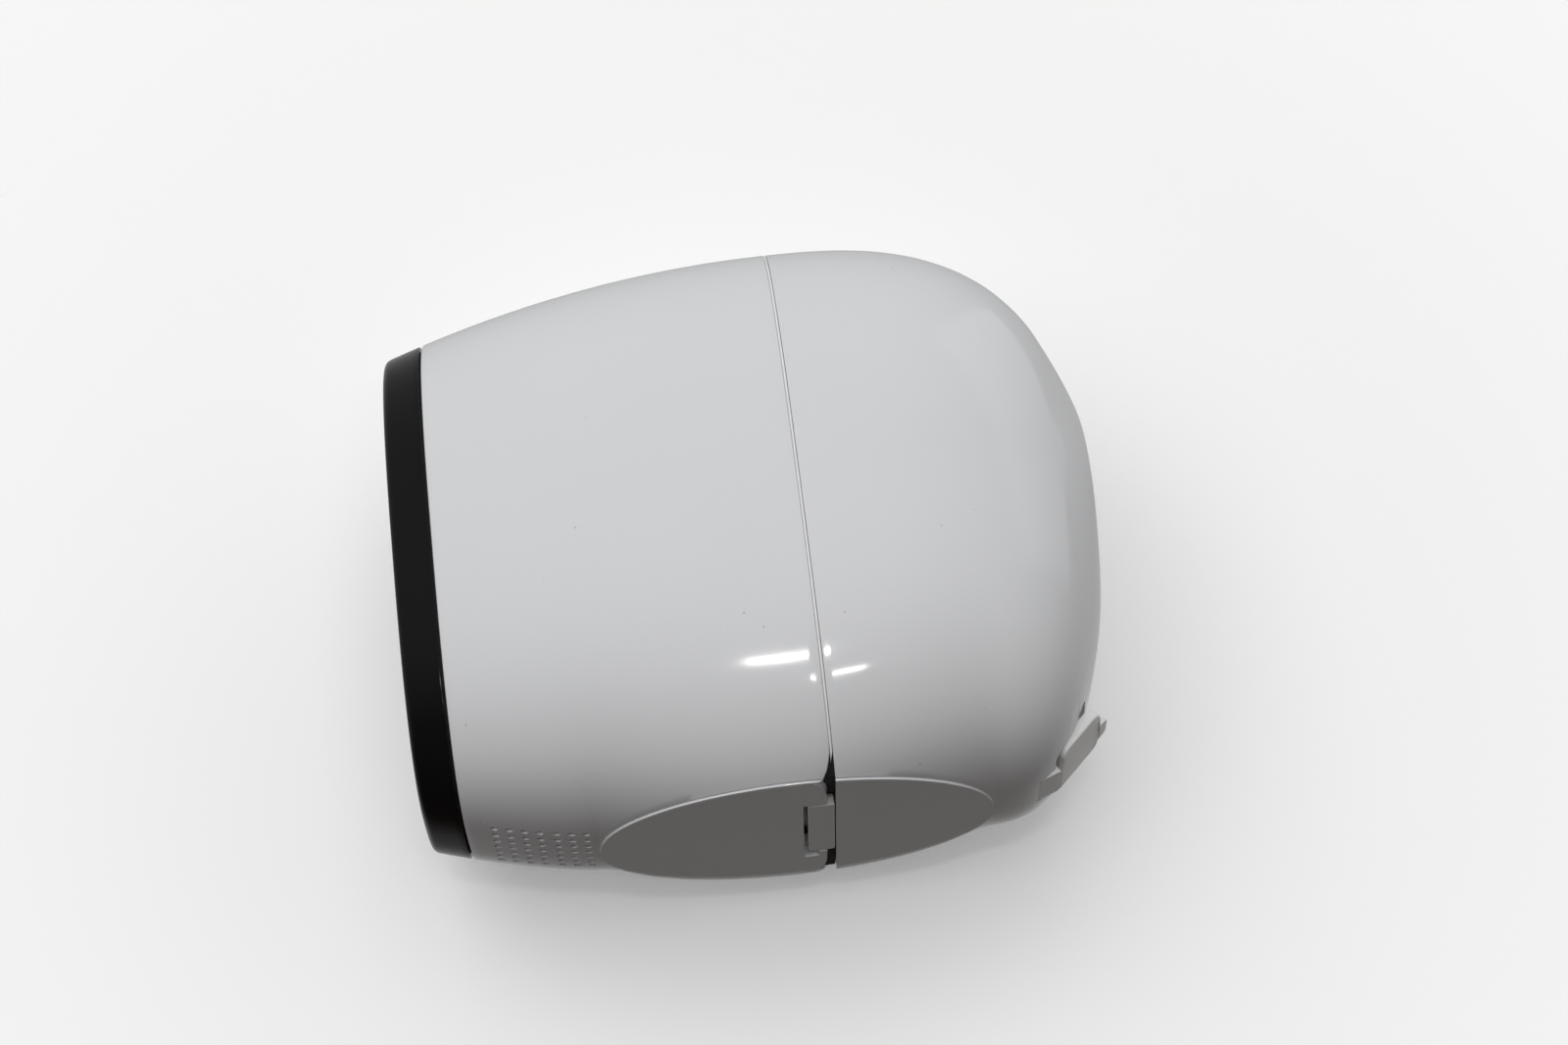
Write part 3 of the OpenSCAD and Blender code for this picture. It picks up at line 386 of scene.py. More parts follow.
# Hinge: knuckles on leaves, trimmed to the crown
hinge_z, knuckle_r = 68.7, 1.75


def hinge_part(x0, x1, way):
    """A knuckle on its leaf; way is -1 for the front housing and 1 for the door."""
    barrel = spun("knuckle", [(knuckle_r - 0.15, x0), (knuckle_r, x0 + 0.15), (knuckle_r, x1 - 0.15),
                              (knuckle_r - 0.15, x1)], (seam_y, hinge_z), "X", 40)
    y0, y1 = sorted((seam_y, seam_y + way * 4.5))
    leaf = brick("leaf", (x0, y0, hinge_z - 1.5), (x1, y1, hinge_z - 0.2))
    return inside_only(fuse(barrel, leaf), 0.05, foot_t, np.linspace(0.5, 11.0, 20))


def hinged(shell, way, *spans):
    """Cuts the relief across the crown, adds the knuckles and bores them for the pin."""
    carve(shell, rod("relief", 2.45, (seam_y, hinge_z), -9.5, 9.5, "X", 64))
    for x0, x1 in spans:
        fuse(shell, hinge_part(x0, x1, way))
    carve(shell, rod("pin_bore", 0.8, (seam_y, hinge_z), -15, 15, "X", 32))


hinged(housing, -1, (3.2, 7.5), (-7.5, -3.2))

# Screw holes, speaker seat, latch slot and the bore of the sync button
for x, z in chassis_screw_at:
    carve(housing, rod("pilot", 0.8, (x, z), -18.25, -11.25, steps=24))
carve(housing, brick("speaker_seat", (-6.45, -33.2, 6.0), (6.45, -20.3, 17.0)))
carve(housing, brick("sound_well", (-5.5, -32.25, 4.6), (5.5, -21.25, 7.0)))
carve(housing, brick("latch_slot", (-7.3, 2.35, -1.0), (7.3, 6.75, floor_z + 0.5)))
carve(housing, brick("latch_notch", (-8.7, 2.35, -1.0), (-7.2, 4.0, 1.3)))
carve(housing, rod("button_bore", 4.8, (0, button_y), crown_z - 8, crown_z + 3, "Z", 64))
carve(housing, rod("button_step", 5.5, (0, button_y), crown_z - 8, crown_z - 3, "Z", 64))


# Grille holes on a square pitch, drawn a little further apart behind the fourth row
class Nodes:
    """A geometry tree with named inputs, ending in real mesh with its material set."""

    def __init__(self, name, **inputs):
        self.tree = bpy.data.node_groups.new(name, "GeometryNodeTree")
        self.tree.interface.new_socket("Geometry", in_out="INPUT", socket_type="NodeSocketGeometry")
        for label, value in inputs.items():
            kind = {"int": "NodeSocketInt", "float": "NodeSocketFloat"}.get(
                type(value).__name__, "NodeSocketMaterial")
            socket = self.tree.interface.new_socket(label.replace("_", " "), in_out="INPUT", socket_type=kind)
            if kind != "NodeSocketMaterial":
                socket.default_value = value
        self.tree.interface.new_socket("Geometry", in_out="OUTPUT", socket_type="NodeSocketGeometry")
        self.inputs = self.tree.nodes.new("NodeGroupInput").outputs

    def add(self, kind, inputs=None, **settings):
        """Adds a node; a kind without "Node" in it is a geometry node's."""
        return put(self.tree, kind if "Node" in kind else "GeometryNode" + kind, inputs, **settings)

    def move(self, shape, **where):
        return self.add("Transform", {"Geometry": shape, **where})

    def times(self, value, factor):
        return sums(self.tree, "MULTIPLY", value, factor)

    def along(self, **axes):
        return self.add("ShaderNodeCombineXYZ", axes)

    def join(self, *shapes):
        node = self.add("JoinGeometry")
        for shape in shapes:
            feed(self.tree, node, {0: shape})
        return node

    def end(self, shape):
        """Sets the shape on each of the incoming points and closes the tree."""
        spread = self.add("InstanceOnPoints", {"Points": self.inputs[0], "Instance": shape})
        real = self.add("RealizeInstances", {"Geometry": spread})
        last = self.add("SetMaterial", {"Geometry": real, "Material": self.inputs["Material"]})
        self.add("NodeGroupOutput", {0: last})
        return self.tree


def grown(name, tree, points, material, **values):
    """Runs a tree on a set of points in millimetres and keeps its result as a plain mesh."""
    data = bpy.data.meshes.new(name)
    data.from_pydata([tuple(c * 0.001 for c in p) for p in points], [], [])
    thing = linked(name, data)
    mod = thing.modifiers.new("grow", "NODES")
    mod.node_group = tree
    for item in tree.interface.items_tree:
        if item.in_out == "INPUT" and item.name in values:
            mod[item.identifier] = values[item.name]
        if item.in_out == "INPUT" and item.name == "Material":
            mod[item.identifier] = material
    return settle(thing)


holes = Nodes("grille_holes", Radius=0.000425, Depth=0.006, Material=white_gloss)
drill = holes.add("MeshCylinder", {"Vertices": 12, "Radius": holes.inputs["Radius"], "Depth": holes.inputs["Depth"]},
                  fill_type="NGON")
pitch = 1.65
places = [((j - 3) * pitch, speaker_y + (i - 3) * pitch + (0.1 if i > 3 else -0.1), 3.0)
          for i in range(7) for j in range(7)]
carve(housing, grown("grille", holes.end(drill), places, white_gloss))
mounted(smooth(housing), white_gloss, "white_gloss", "camera", "front_housing")

# ---------------- battery door
# The white rear shell, moulded in the same glossy ABS. It swings on the crown's hinge, clips on
# the latch under the foot, and carries the round rear seat and the charging opening.
dish_z, dish_r, dish_depth = 36.7, 9.4, 2.2
ball_r = (dish_r ** 2 + dish_depth ** 2) / (2 * dish_depth)


def dish_y(r, back=0.0):
    return rear_y - dish_depth + ball_r - sqrt((ball_r + back) ** 2 - r * r)


def to_circle(row, r, y):
    out = []
    for x, _, z in row:
        d = hypot(x, z - dish_z)
        out.append((x * r / d, y, dish_z + (z - dish_z) * r / d))
    return out


# Outside: the shell's own rows up to blend_y, then a blend that rises to the rim of the seat
blend_y, blend_rise, blend_rows, seat_rim = 35.5, 4.1, 22, dish_r + 0.9
outside = []
for a in [radians(d) for d in (90, 67, 45, 22)]:
    outside.append(shell_row(door_start + bend * (1 - sin(a)), bend * (1 - cos(a)), **sizes))
first = door_start + bend
outside += [shell_row(first + (foot_rear - first) * sin(pi / 2 * i / 32), 0.0, **sizes) for i in range(33)]
turn0, turn1 = [asin((y - seam_y) / (rear_y - seam_y)) for y in (foot_rear, blend_y)]
outside += [shell_row(seam_y + (rear_y - seam_y) * sin(turn0 + (turn1 - turn0) * i / 30), 0.0, **sizes)
            for i in range(1, 31)]
last = outside[-1]
for i in range(1, blend_rows + 1):
    w = i / blend_rows
    row = []
    for a, b in zip(last, to_circle(last, seat_rim, 0)):
        up = (b[2] - dish_z) / seat_rim
        full = 1.2 + (0.13 * up if up > 0 else 0.5 * up * up)
        row.append((a[0] + (b[0] - a[0]) * w, blend_y + blend_rise * (1 - (1 - w) ** full), a[2] + (b[2] - a[2]) * w))
    outside.append(row)
for r, y in ((10.2, 39.62), (10.05, 39.64), (9.85, 39.65), (9.6, 39.65), (9.47, 39.61), (9.41, 39.5), (9.4, 39.3),
             (9.4, dish_y(9.38, 0.8)), (7.5, dish_y(7.5, 0.8)), (5.8, dish_y(5.8, 0.8)), (4.22, dish_y(4.22, 0.8)),
             (4.22, 31.35), (4.3, 31.05), (5.3, 31.05), (5.4, 31.2)):
    outside.append(to_circle(last, r, y))
reach, inner_turn = rear_y - wall - door_start, radians(77)
inner_end = door_start + reach * sin(inner_turn)
inside = [shell_row(door_start + reach * sin(inner_turn * i / 34), wall, floor=floor_z) for i in range(35)]
hub = to_circle(inside[-1], 5.4, inner_end - 0.2)
inside.append([(a[0] + (b[0] - a[0]) * 0.5, inner_end, a[2] + (b[2] - a[2]) * 0.5) for a, b in zip(inside[-1], hub)])
inside.append(hub)
door = solid("battery_door_shell", outside + inside[::-1])

# Catch for the latch, and the middle knuckle of the hinge
fuse(door, brick("catch", (-4.5, 6.35, 1.8), (4.5, 7.05, 2.95)))
hinged(door, 1, (-3.0, 3.0))

# Charging opening in its recess, in a frame with Y up the slope and Z outward, and the strap's pocket
port_at = Vector((0, 31.65, 3.248)) * 0.001
mirror = Matrix.Scale(-1, 4, (0, 0, 1))
to_port, to_strap = [Matrix.Translation(port_at) @ Matrix.Rotation(radians(d), 4, "X") @ mirror for d in (56, 33)]
to_cover = to_port @ Matrix.Translation((0, 0, 0.0005)) @ Matrix.Rotation(radians(12), 4, "X") \
    @ Matrix.Translation((0, 0, -0.0005))


def pillow(name, width, y0, y1, z0, z1, r, nose=0.2, place=None, arcs=6):
    """Rounded block, with its edges eased by nose, lying in XY from z0 to z1."""
    def outline(inset):
        rr = max(r - inset, 0.02)
        pts = []
        for cx, cy, a0 in ((width / 2 - r, y1 - r, 0), (-width / 2 + r, y1 - r, 90),
                           (-width / 2 + r, y0 + r, 180), (width / 2 - r, y0 + r, 270)):
            for i in range(arcs + 1):
                a = radians(a0 + 90 * i / arcs)
                pts.append((cx + rr * cos(a), cy + rr * sin(a)))
        return pts
    rows = []
    for z, way, turns in ((z0, 1, (0, 30, 60, 90)), (z1, -1, (90, 60, 30, 0))):
        for a in map(radians, turns):
            rows.append([(x, y, z + way * nose * (1 - cos(a))) for x, y in outline(nose * (1 - sin(a)))])
    cx, cy = 0.0, (y0 + y1) / 2
    for f in (0.7, 0.4, 0.12):
        rows.append([(cx + (x - cx) * f, cy + (y - cy) * f, z1) for x, y, z in rows[7]])
    thing = solid(name, rows, capped=True)
    return moved(thing, place) if place else thing


fuse(door, brick("port_frame", (-6.5, -0.2, -2.8), (6.5, 7.2, -0.9), to_port))
carve(door, pillow("opening", 10.2, 1.0, 6.0, -4.0, 5.0, 1.2, 0.05, to_port))
carve(door, pillow("recess", 11.6, -0.7, 7.4, -1.2, 6.0, 1.4, 0.05, to_port))
carve(door, brick("pocket", (-3.05, -3.25, -0.85), (3.05, 1.0, 6.0), to_strap))
mounted(smooth(door), white_gloss, "white_gloss", "door", "battery_door")

# ---------------- front bezel
# The glossy black band round the lens face, moulded with the frame that the window sits in and a
# spigot that clips inside the front housing.
black_gloss = finish("black_gloss_abs", (0.004, 0.004, 0.0045), (0.006, 0.0055, 0.0055), (0.12, 0.18), 2.5, 0.003,
                     IOR=1.4, Specular_IOR_Level=0.25)
bezel_y, ledge_y, board_y = -35.35, -37.75, -28.05


def face_row(y, k):
    return [(x, y, z) for x, z in rim(front_y, k)]


rows = []
for d in range(90, -1, -15):
    a = radians(d)
    rows.append(shell_row(front_y + 0.7 * (1 - sin(a)), 0.7 * (1 - cos(a))))
rows += [shell_row(front_y + 0.7 + (bezel_y - 0.2 - front_y - 0.7) * i / 6, 0.0) for i in range(1, 7)]
rows += [shell_row(y, k) for y, k in (
    (bezel_y - 0.06, 0.06), (bezel_y, 0.2), (bezel_y, 2.15), (-32.5, 2.15), (-32.35, 2.3))]
rows += [face_row(y, k) for y, k in (
    (-32.35, 2.7), (-36.75, 2.7), (-36.75, 3.4), (ledge_y, 3.4), (ledge_y, 2.0), (front_y + 0.12, 2.0),
    (front_y + 0.03, 1.96), (front_y, 1.86))]
bezel = solid("front_bezel_band", rows)
carve(bezel, brick("collar_room", (-7.95, bezel_y + 0.4, -1), (7.95, -20, 16.75)))
face_boss_at = boss_places(4.3, (38, 142, 218, 322), front_y)
for x, z in face_boss_at:
    fuse(bezel, spun("face_boss", [(2.0, ledge_y + 0.02), (2.0, board_y), (0.8, board_y), (0.8, ledge_y + 3)],
                     (x, z), steps=32))
mounted(smooth(bezel), black_gloss, "black_gloss", "camera", "front_bezel")

# ---------------- window
# The dark acrylic plate that covers the lens face, with openings for the lens ring, the motion
# sensor, the status light, the light sensor and the microphone.
window_acrylic = finish("window_acrylic", (0.006, 0.006, 0.008), (0.01, 0.009, 0.011), (0.06, 0.1), 4.0, 0.002,
                        IOR=1.49, Coat_Weight=0.2, Coat_Roughness=0.04)
window_y = front_y + 0.3
lens_z, pir_z, status_z, light_z, mic_x, mic_z = 44.5, 21.0, 31.5, 57.5, 8.0, 13.3
rows = [face_row(y, k) for y, k in ((window_y, 2.5), (window_y, 2.25), (window_y + 0.05, 2.14),
                                    (window_y + 0.15, 2.1), (ledge_y, 2.1))]
window = solid("window_plate", rows, capped=True)
for r, x, z in ((9.3, 0, lens_z), (7.1, 0, pir_z), (0.9, 0, status_z), (1.6, 0, light_z), (0.5, mic_x, mic_z)):
    carve(window, spun("port", [(r + 0.15, window_y - 1), (r + 0.15, window_y), (r, window_y + 0.15),
                                (r, ledge_y + 1)], (x, z), steps=72))
mounted(smooth(window), window_acrylic, "dark_window", "camera", "front_window")

# ---------------- seam gasket
# The pale silicone cord that seals the battery bay, seated in the front housing's end and just
# below the shells' surface, so that it shows as a fine line round the seam.
pale_rubber = finish("pale_silicone", (0.78, 0.785, 0.78), (0.74, 0.745, 0.74), (0.42, 0.55), 0.8, 0.006, IOR=1.41)
rows = []
for k, y in ((0.4, 5.63), (0.16, 5.64), (0.07, 5.68), (0.03, 5.73), (0.03, 5.85), (0.07, 5.9), (0.16, 5.94),
             (0.4, 5.95), (1.6, 5.95), (1.6, 5.63)):
    rows.append(shell_row(y, k, floor=foot_t + 0.1))
gasket = solid("seam_gasket_cord", rows)
carve(gasket, brick("foot_gap", (-40, -8, -12), (40, 8, 0),
                    Matrix.Translation((0, 0.00579, 0.0021)) @ Matrix.Rotation(radians(72), 4, "X")))
carve(gasket, brick("hinge_gap", (-9.55, 0, 66.35), (9.55, 12, 80)))
mounted(smooth(gasket), pale_rubber, "pale_rubber", "camera", "seam_gasket")
black_rubber = finish("black_rubber", (0.014, 0.014, 0.014), (0.022, 0.021, 0.021), (0.6, 0.78), 0.25, 0.012)
# A black rubber block just under the surface in the seam's lower corners: its black paints the shade in the dark
# flares of the gap there.
gap_shade = solid("gap_shade_block", [shell_row(y, k, floor=foot_t + 0.35) for k, y in
                           ((0.45, 4.7), (0.45, 5.93), (2.5, 5.93), (2.5, 4.7))])
carve(gap_shade, brick("above_gap_shade", (-40, 0, 2.3), (40, 12, 90)), least=0)
carve(gap_shade, brick("between_gap_shades", (-8.8, 0, -5), (8.8, 12, 10)), least=0)
mounted(smooth(gap_shade), black_rubber, "black_rubber", "camera")

# ---------------- latch button
# The button across the foot at the seam. It is moulded in white ABS with its spring arm and the
# hook that holds the door, and is pressed up into the foot to let the door go.
latch = pillow("latch_button_body", 14.0, 2.85, 5.85, 0.0, 2.6, 0.3, 0.1)
for name, low, high in (
        ("stem", (-5.2, 3.15, 1.2), (5.2, 5.55, 3.55)), ("arm", (-5.2, -3.25, 2.4), (5.2, 5.5, 3.6)),
        ("hook", (-4.0, 3.85, 3.3), (4.0, 8.15, 4.3)), ("nose", (-4.0, 7.35, 3.05), (4.0, 8.15, 3.8))):
    fuse(latch, brick(name, low, high))
for x in (-3.8, 3.8):
    carve(latch, rod("guide", 0.98, (x, -0.65), -1, 10, "Z", 32))
mounted(smooth(latch), white_gloss, "white_gloss", "latch", "latch_button")

# ---------------- charging cover and strap
# The soft cover of the charging port, moulded in pale silicone with a sealing block and a pull
# lip, and the strap it folds on, whose root is glued in a pocket in the door.
cover = pillow("usb_cover_pad", 11.0, 0.0, 6.8, -0.75, 0.6, 1.3, 0.2, None, 8)
fuse(cover, pillow("sealing_block", 9.0, 1.6, 5.3, -1.8, -0.6, 0.8, 0.15))
fuse(cover, pillow("pull_lip", 4.0, 6.3, 8.0, -0.1, 0.6, 0.7, 0.12))
for v in cover.data.vertices:
    v.co.z -= 0.00045 * min(1.0, abs(v.co.x) / 0.0055) ** 2.4
moved(cover, to_cover)
mounted(smooth(cover), pale_rubber, "pale_rubber", "cover", "usb_cover")
strap = pillow("usb_cover_strap", 6.0, -3.2, -0.4, -0.8, 0.25, 0.4, 0.1)
for v in strap.data.vertices:
    if v.co.z > 0:
        v.co.z += 0.0006 * (v.co.y + 0.0032) / 0.0028 - 0.0001
moved(strap, to_strap)
mounted(smooth(strap), pale_rubber, "pale_rubber", "door", "usb_strap")

# ---------------- lens ring, cover and lens
# A grey anodised ring pressed in the window holds the clear cover. Behind it the black barrel,
# screwed in its holder on the sensor board, carries the coated front lens.
grey_anodised = finish("grey_anodised", (0.11, 0.11, 0.12), (0.14, 0.14, 0.15), (0.3, 0.38), 0.35, 0.004,
                       Metallic=1.0)
clear_glass = finish("clear_glass", (0.97, 0.98, 0.98), (0.95, 0.97, 0.97), (0.0, 0.012), 6.0, 0.0001,
                     Transmission_Weight=1.0, IOR=1.32)
coated_glass = finish("coated_glass", (0.05, 0.03, 0.09), (0.03, 0.035, 0.1), (0.02, 0.04), 3.0, 0.0004,
                      Coat_Weight=1.0, Coat_Roughness=0.02, IOR=1.7)
black_matte = finish("black_matte_plastic", (0.012, 0.012, 0.012), (0.018, 0.018, 0.018), (0.5, 0.65), 0.3, 0.008)
at_lens = (0, lens_z)


def lathe(name, profile, centre, steps=72):
    """Turned ring: the profile runs round its whole section and closes on itself."""
    return smooth(solid(name, turned(profile, centre, steps=steps)))


def lathe_disc(name, profile, centre, steps=72, axis="Y"):
    """Turned solid that starts and ends on its axis."""
    return smooth(spun(name, profile, centre, axis, steps))


ring = lathe("lens_ring_turning", [
    (8.95, -39.65), (9.2, -39.4), (9.2, -38.9), (9.12, -38.82), (9.2, -38.74), (9.2, ledge_y), (9.95, ledge_y),
    (10.1, -37.6), (10.1, -36.95), (6.7, -36.95), (6.7, -38.25), (7.55, -38.25), (7.55, -39.3), (7.9, -39.6)],
    at_lens, 96)
mounted(ring, grey_anodised, "grey_anodised", "camera", "lens_ring")
pane = lathe_disc("lens_cover_pane", [(0, -39.25), (7.3, -39.25), (7.5, -39.1), (7.5, -38.3), (7.44, -38.25),
                                      (0, -38.25)], at_lens)
mounted(pane, clear_glass, "clear_glass", "camera", "lens_cover")
steps_in = [(4.0 - 0.3 * i, -35.7 + 0.55 * i + s) for i in range(6) for s in (0.0, 0.3)]
barrel = lathe("lens_barrel_turning", [(4.0, -37.75), (4.9, -37.75), (5.2, -37.5), (5.2, -32.6), (4.3, -32.5),
                                       (4.3, -29.7), (2.2, -29.7)] + [(r, y) for r, y in steps_in[::-1] if r > 2.2]
               + [(4.0, -35.75)], at_lens)
mounted(barrel, black_matte, "black_matte", "camera", "lens_barrel")
bulge = [(r, -37.45 + 8 - sqrt(64 - r * r)) for r in (0, 0.8, 1.6, 2.4, 3.2, 3.7, 3.93)]
front_lens = lathe_disc("front_lens_glass", bulge + [(3.95, -36.4), (3.95, -35.8), (3.9, -35.75), (0, -35.75)],
                        at_lens)
mounted(front_lens, coated_glass, "clear_glass", "camera", "front_lens")


def dressed(node, material, slot, ease=0.12, angle=32):
    """A CAD node's own shape with its corners eased; a shape that won't take the easing stays sharp."""
    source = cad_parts[node]
    mesh = bmesh.new()
    mesh.from_mesh(source.data)
    bmesh.ops.remove_doubles(mesh, verts=mesh.verts, dist=1.5e-6)
    bmesh.ops.dissolve_limit(mesh, angle_limit=radians(1.0), verts=mesh.verts, edges=mesh.edges)
    data = bpy.data.meshes.new(node + "_eased")
    mesh.to_mesh(data)
    volume = mesh.calc_volume()
    mesh.free()
    thing = linked(node + "_eased", data)
    if ease:
        mod = thing.modifiers.new("ease", "BEVEL")
        mod.limit_method, mod.angle_limit = "ANGLE", radians(angle)
        mod.width, mod.segments, mod.use_clamp_overlap = ease * 0.001, 2, True
        settle(thing)
        mesh = bmesh.new()
        mesh.from_mesh(thing.data)
        eased = mesh.calc_volume()
        size = [max(v.co[i] for v in mesh.verts) - min(v.co[i] for v in mesh.verts) for i in range(3)]
        mesh.free()
        low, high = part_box(node)
        if abs(eased - volume) > 0.12 * abs(volume) or any(size[i] > high[i] - low[i] + 2e-5 for i in range(3)):
            thing.data = data
    return mounted(smooth(thing, angle), material, slot, "camera", node)


dressed("lens_holder", black_matte, "black_matte", ease=0.2)
sensor_die = finish("sensor_die", (0.03, 0.035, 0.05), (0.05, 0.04, 0.07), (0.12, 0.2), 0.5, 0.002, IOR=1.6)
dressed("image_sensor", sensor_die, "sensor_die", ease=0.08)

# ---------------- motion sensor
# A metal can on the sensor board looks out through a milky domed lens, moulded in polyethylene
# with small lens facets on its face.
milky = finish("milky_polyethylene", (0.72, 0.73, 0.72), (0.66, 0.67, 0.66), (0.3, 0.4), 1.2, 0.004,
               Subsurface_Weight=0.35, Subsurface_Scale=0.0015)
tree = milky.node_tree
flat = put(tree, "Mapping", {"Vector": tree.nodes["Texture Coordinate"].outputs["Object"],
                                       "Scale": (1, 0, 1)})
facets = put(tree, "TexVoronoi", {"Vector": flat, "Scale": 400, "Randomness": 0.0},
             feature="DISTANCE_TO_EDGE")
groove = put(tree, "MapRange", {"Value": facets, "From Max": 0.09})
facet_bump = put(tree, "Bump", {"Distance": 0.00012, "Height": groove, "Normal": tree.nodes["Bump"]})
feed(tree, tree.nodes["Principled BSDF"], {"Normal": facet_bump})
nickel = finish("bright_nickel", (0.58, 0.57, 0.55), (0.5, 0.49, 0.47), (0.14, 0.24), 0.7, 0.003, Metallic=1.0)
cap = [(r, front_y + 12 - sqrt(144 - r * r)) for r in (0, 1.4, 2.8, 4.2, 5.4, 6.3, 6.8)]
back_cap = [(r, front_y + 12 - sqrt(11.2 ** 2 - r * r)) for r in (6.2, 5.4, 4.2, 2.8, 1.4, 0)]
pir = lathe_disc("pir_lens_dome", cap + [(7.0, -37.3), (7.0, ledge_y), (7.9, ledge_y), (8.0, -37.65), (8.0, -37.15),
                                         (7.9, -37.05), (6.2, -37.05)] + back_cap, (0, pir_z), 96)
mounted(pir, milky, "milky_plastic", "camera", "pir_lens")
can = lathe_disc("pir_sensor_can", [(0, -32.05), (3.8, -32.05), (4.1, -31.75), (4.1, -28.75), (4.2, -28.65),
                                    (4.6, -28.65), (4.6, -28.1), (4.55, -28.05), (0, -28.05)], (0, pir_z))
carve(can, pillow("can_window", 3.2, pir_z - 1.2, pir_z + 1.2, 30.5, 34.0, 0.3, 0.05,
                  Matrix.Rotation(radians(90), 4, "X") @ Matrix.Scale(1, 4)))
mounted(smooth(can), nickel, "nickel", "camera", "pir_sensor")

# ---------------- lights and small sensors on the face
# Eight infrared emitters in clear-topped packages stand in an arc round the lens. Beside them are
# the status light's pipe, the light sensor, and the microphone in its rubber boot.
led_tree = Nodes("emitters", Lens=0.00095, Material=sensor_die)
base = led_tree.move(led_tree.add("MeshCube", {"Size": (0.0026, 0.0012, 0.0026)}), Translation=(0, 0.001, 0))
bead = led_tree.add("MeshUVSphere", {"Segments": 16, "Rings": 10, "Radius": led_tree.inputs["Lens"]})
bead = led_tree.move(bead, Translation=(0, 0.00095, 0), Rotation=(pi / 2, 0, 0))
led_count, led_ring, led_start, led_span = 8, 10.6, -22.5, 225
led_turns = [radians(led_start + led_span * i / (led_count - 1)) for i in range(led_count)]
led_at = [(led_ring * cos(a), -29.65, lens_z + led_ring * sin(a)) for a in led_turns]
leds = grown("infrared_emitters", led_tree.end(led_tree.join(base, bead)), led_at, sensor_die)
mounted(smooth(leds), sensor_die, "sensor_die", "camera", "infrared_leds")
dressed("status_light_pipe", clear_glass, "milky_plastic", ease=0.1)
dressed("light_sensor", sensor_die, "sensor_die", ease=0.1)
gold = finish("gold_plate", (0.83, 0.6, 0.25), (0.76, 0.54, 0.22), (0.2, 0.32), 0.5, 0.003, Metallic=1.0)
dressed("microphone", gold, "gold", ease=0.08)
dressed("microphone_boot", black_rubber, "black_rubber", ease=0.15)
dressed("bezel_seal", black_rubber, "black_rubber", ease=0.06)

# ---------------- circuit boards
# Green glass-epoxy boards behind the face: the sensor board and the main board with its shield
# can, joined by a folded flat cable between two connectors. Small screws hold each board.
board_green = finish("solder_mask", (0.012, 0.11, 0.045), (0.018, 0.14, 0.06), (0.22, 0.36), 0.8, 0.006, IOR=1.5)
for node in ("sensor_board", "main_board", "usb_board"):
    dressed(node, board_green, "board_green", ease=0.08)
dressed("shield_can", nickel, "nickel", ease=0.25)
connector_cream = finish("nylon_cream", (0.78, 0.74, 0.64), (0.73, 0.68, 0.58), (0.4, 0.5), 0.5, 0.006)
dressed("board_connectors", connector_cream, "connector_cream", ease=0.1)
amber = finish("polyimide_amber", (0.5, 0.19, 0.03), (0.42, 0.15, 0.025), (0.16, 0.26), 1.0, 0.004, Coat_Weight=0.3)
dressed("ribbon_cable", amber, "cable_amber", ease=0, angle=40)
dressed("antennas", gold, "gold", ease=0.05)
chips = Nodes("chips", Seed=7, Keep=0.62, Material=sensor_die)
cells = chips.add("MeshGrid", {"Size X": 0.021, "Size Y": 0.006, "Vertices X": 9, "Vertices Y": 4})
cells = chips.move(cells, Rotation=(pi / 2, 0, 0))
chance = chips.add("FunctionNodeRandomValue", {"Seed": chips.inputs["Seed"], "Probability": chips.inputs["Keep"]},
                   data_type="BOOLEAN")
size = chips.add("FunctionNodeRandomValue", {"Seed": 4, 0: (0.6, 1, 0.6), 1: (1.5, 1, 1.25)},
                 data_type="FLOAT_VECTOR")
place = chips.add("InstanceOnPoints", {
    "Points": cells, "Instance": chips.add("MeshCube", {"Size": (0.0013, 0.0006, 0.001)}),
    "Selection": chance.outputs[3], "Scale": size})
parts = grown("small_chips", chips.end(place), [(0, -20.1, 18.9), (0, -18.4, 30.0)], sensor_die)
mounted(parts, sensor_die, "sensor_die", "camera")

# Pan-head screws with a cross recess; the countersunk screws in the chassis are drawn with the same pan head.
steel = finish("zinc_plated_steel", (0.56, 0.56, 0.56), (0.48, 0.48, 0.49), (0.22, 0.34), 0.4, 0.004, Metallic=1.0)
screw = Nodes("screws", Head_radius=0.0015, Head_height=0.0009, Shank_radius=0.00075, Shank_length=0.004,
              Turn=0.0, Material=steel)
head_h, shank_l = screw.inputs["Head height"], screw.inputs["Shank length"]
head = screw.add("MeshCylinder", {"Vertices": 28, "Radius": screw.inputs["Head radius"], "Depth": head_h})
head = screw.move(head, Translation=screw.along(Z=screw.times(head_h, 0.5)))
slot_a = screw.add("MeshCube", {"Size": (0.0017, 0.00035, 0.0011)})
slot_b = screw.add("MeshCube", {"Size": (0.00035, 0.0017, 0.00112)})
cross = screw.move(screw.join(slot_a, slot_b), Translation=screw.along(Z=head_h))
cut = screw.add("MeshBoolean", {"Mesh 1": head, "Mesh 2": cross}, operation="DIFFERENCE")
shank = screw.add("MeshCylinder", {"Vertices": 20, "Side Segments": 1, "Radius": screw.inputs["Shank radius"],
                                   "Depth": shank_l})
shank = screw.move(shank, Translation=screw.along(Z=screw.times(shank_l, -0.5)))
whole = screw.move(screw.join(cut, shank), Rotation=screw.along(X=screw.inputs["Turn"]))
screw_tree = screw.end(whole)
main_at = [(x * 11.9, 35 + v * 16.4) for x in (-1, 1) for v in (-1, 1)]


def screws(name, points, node, **values):
    mounted(smooth(grown(name, screw_tree, points, steel, **values)), steel, "screw_steel", "camera", node)


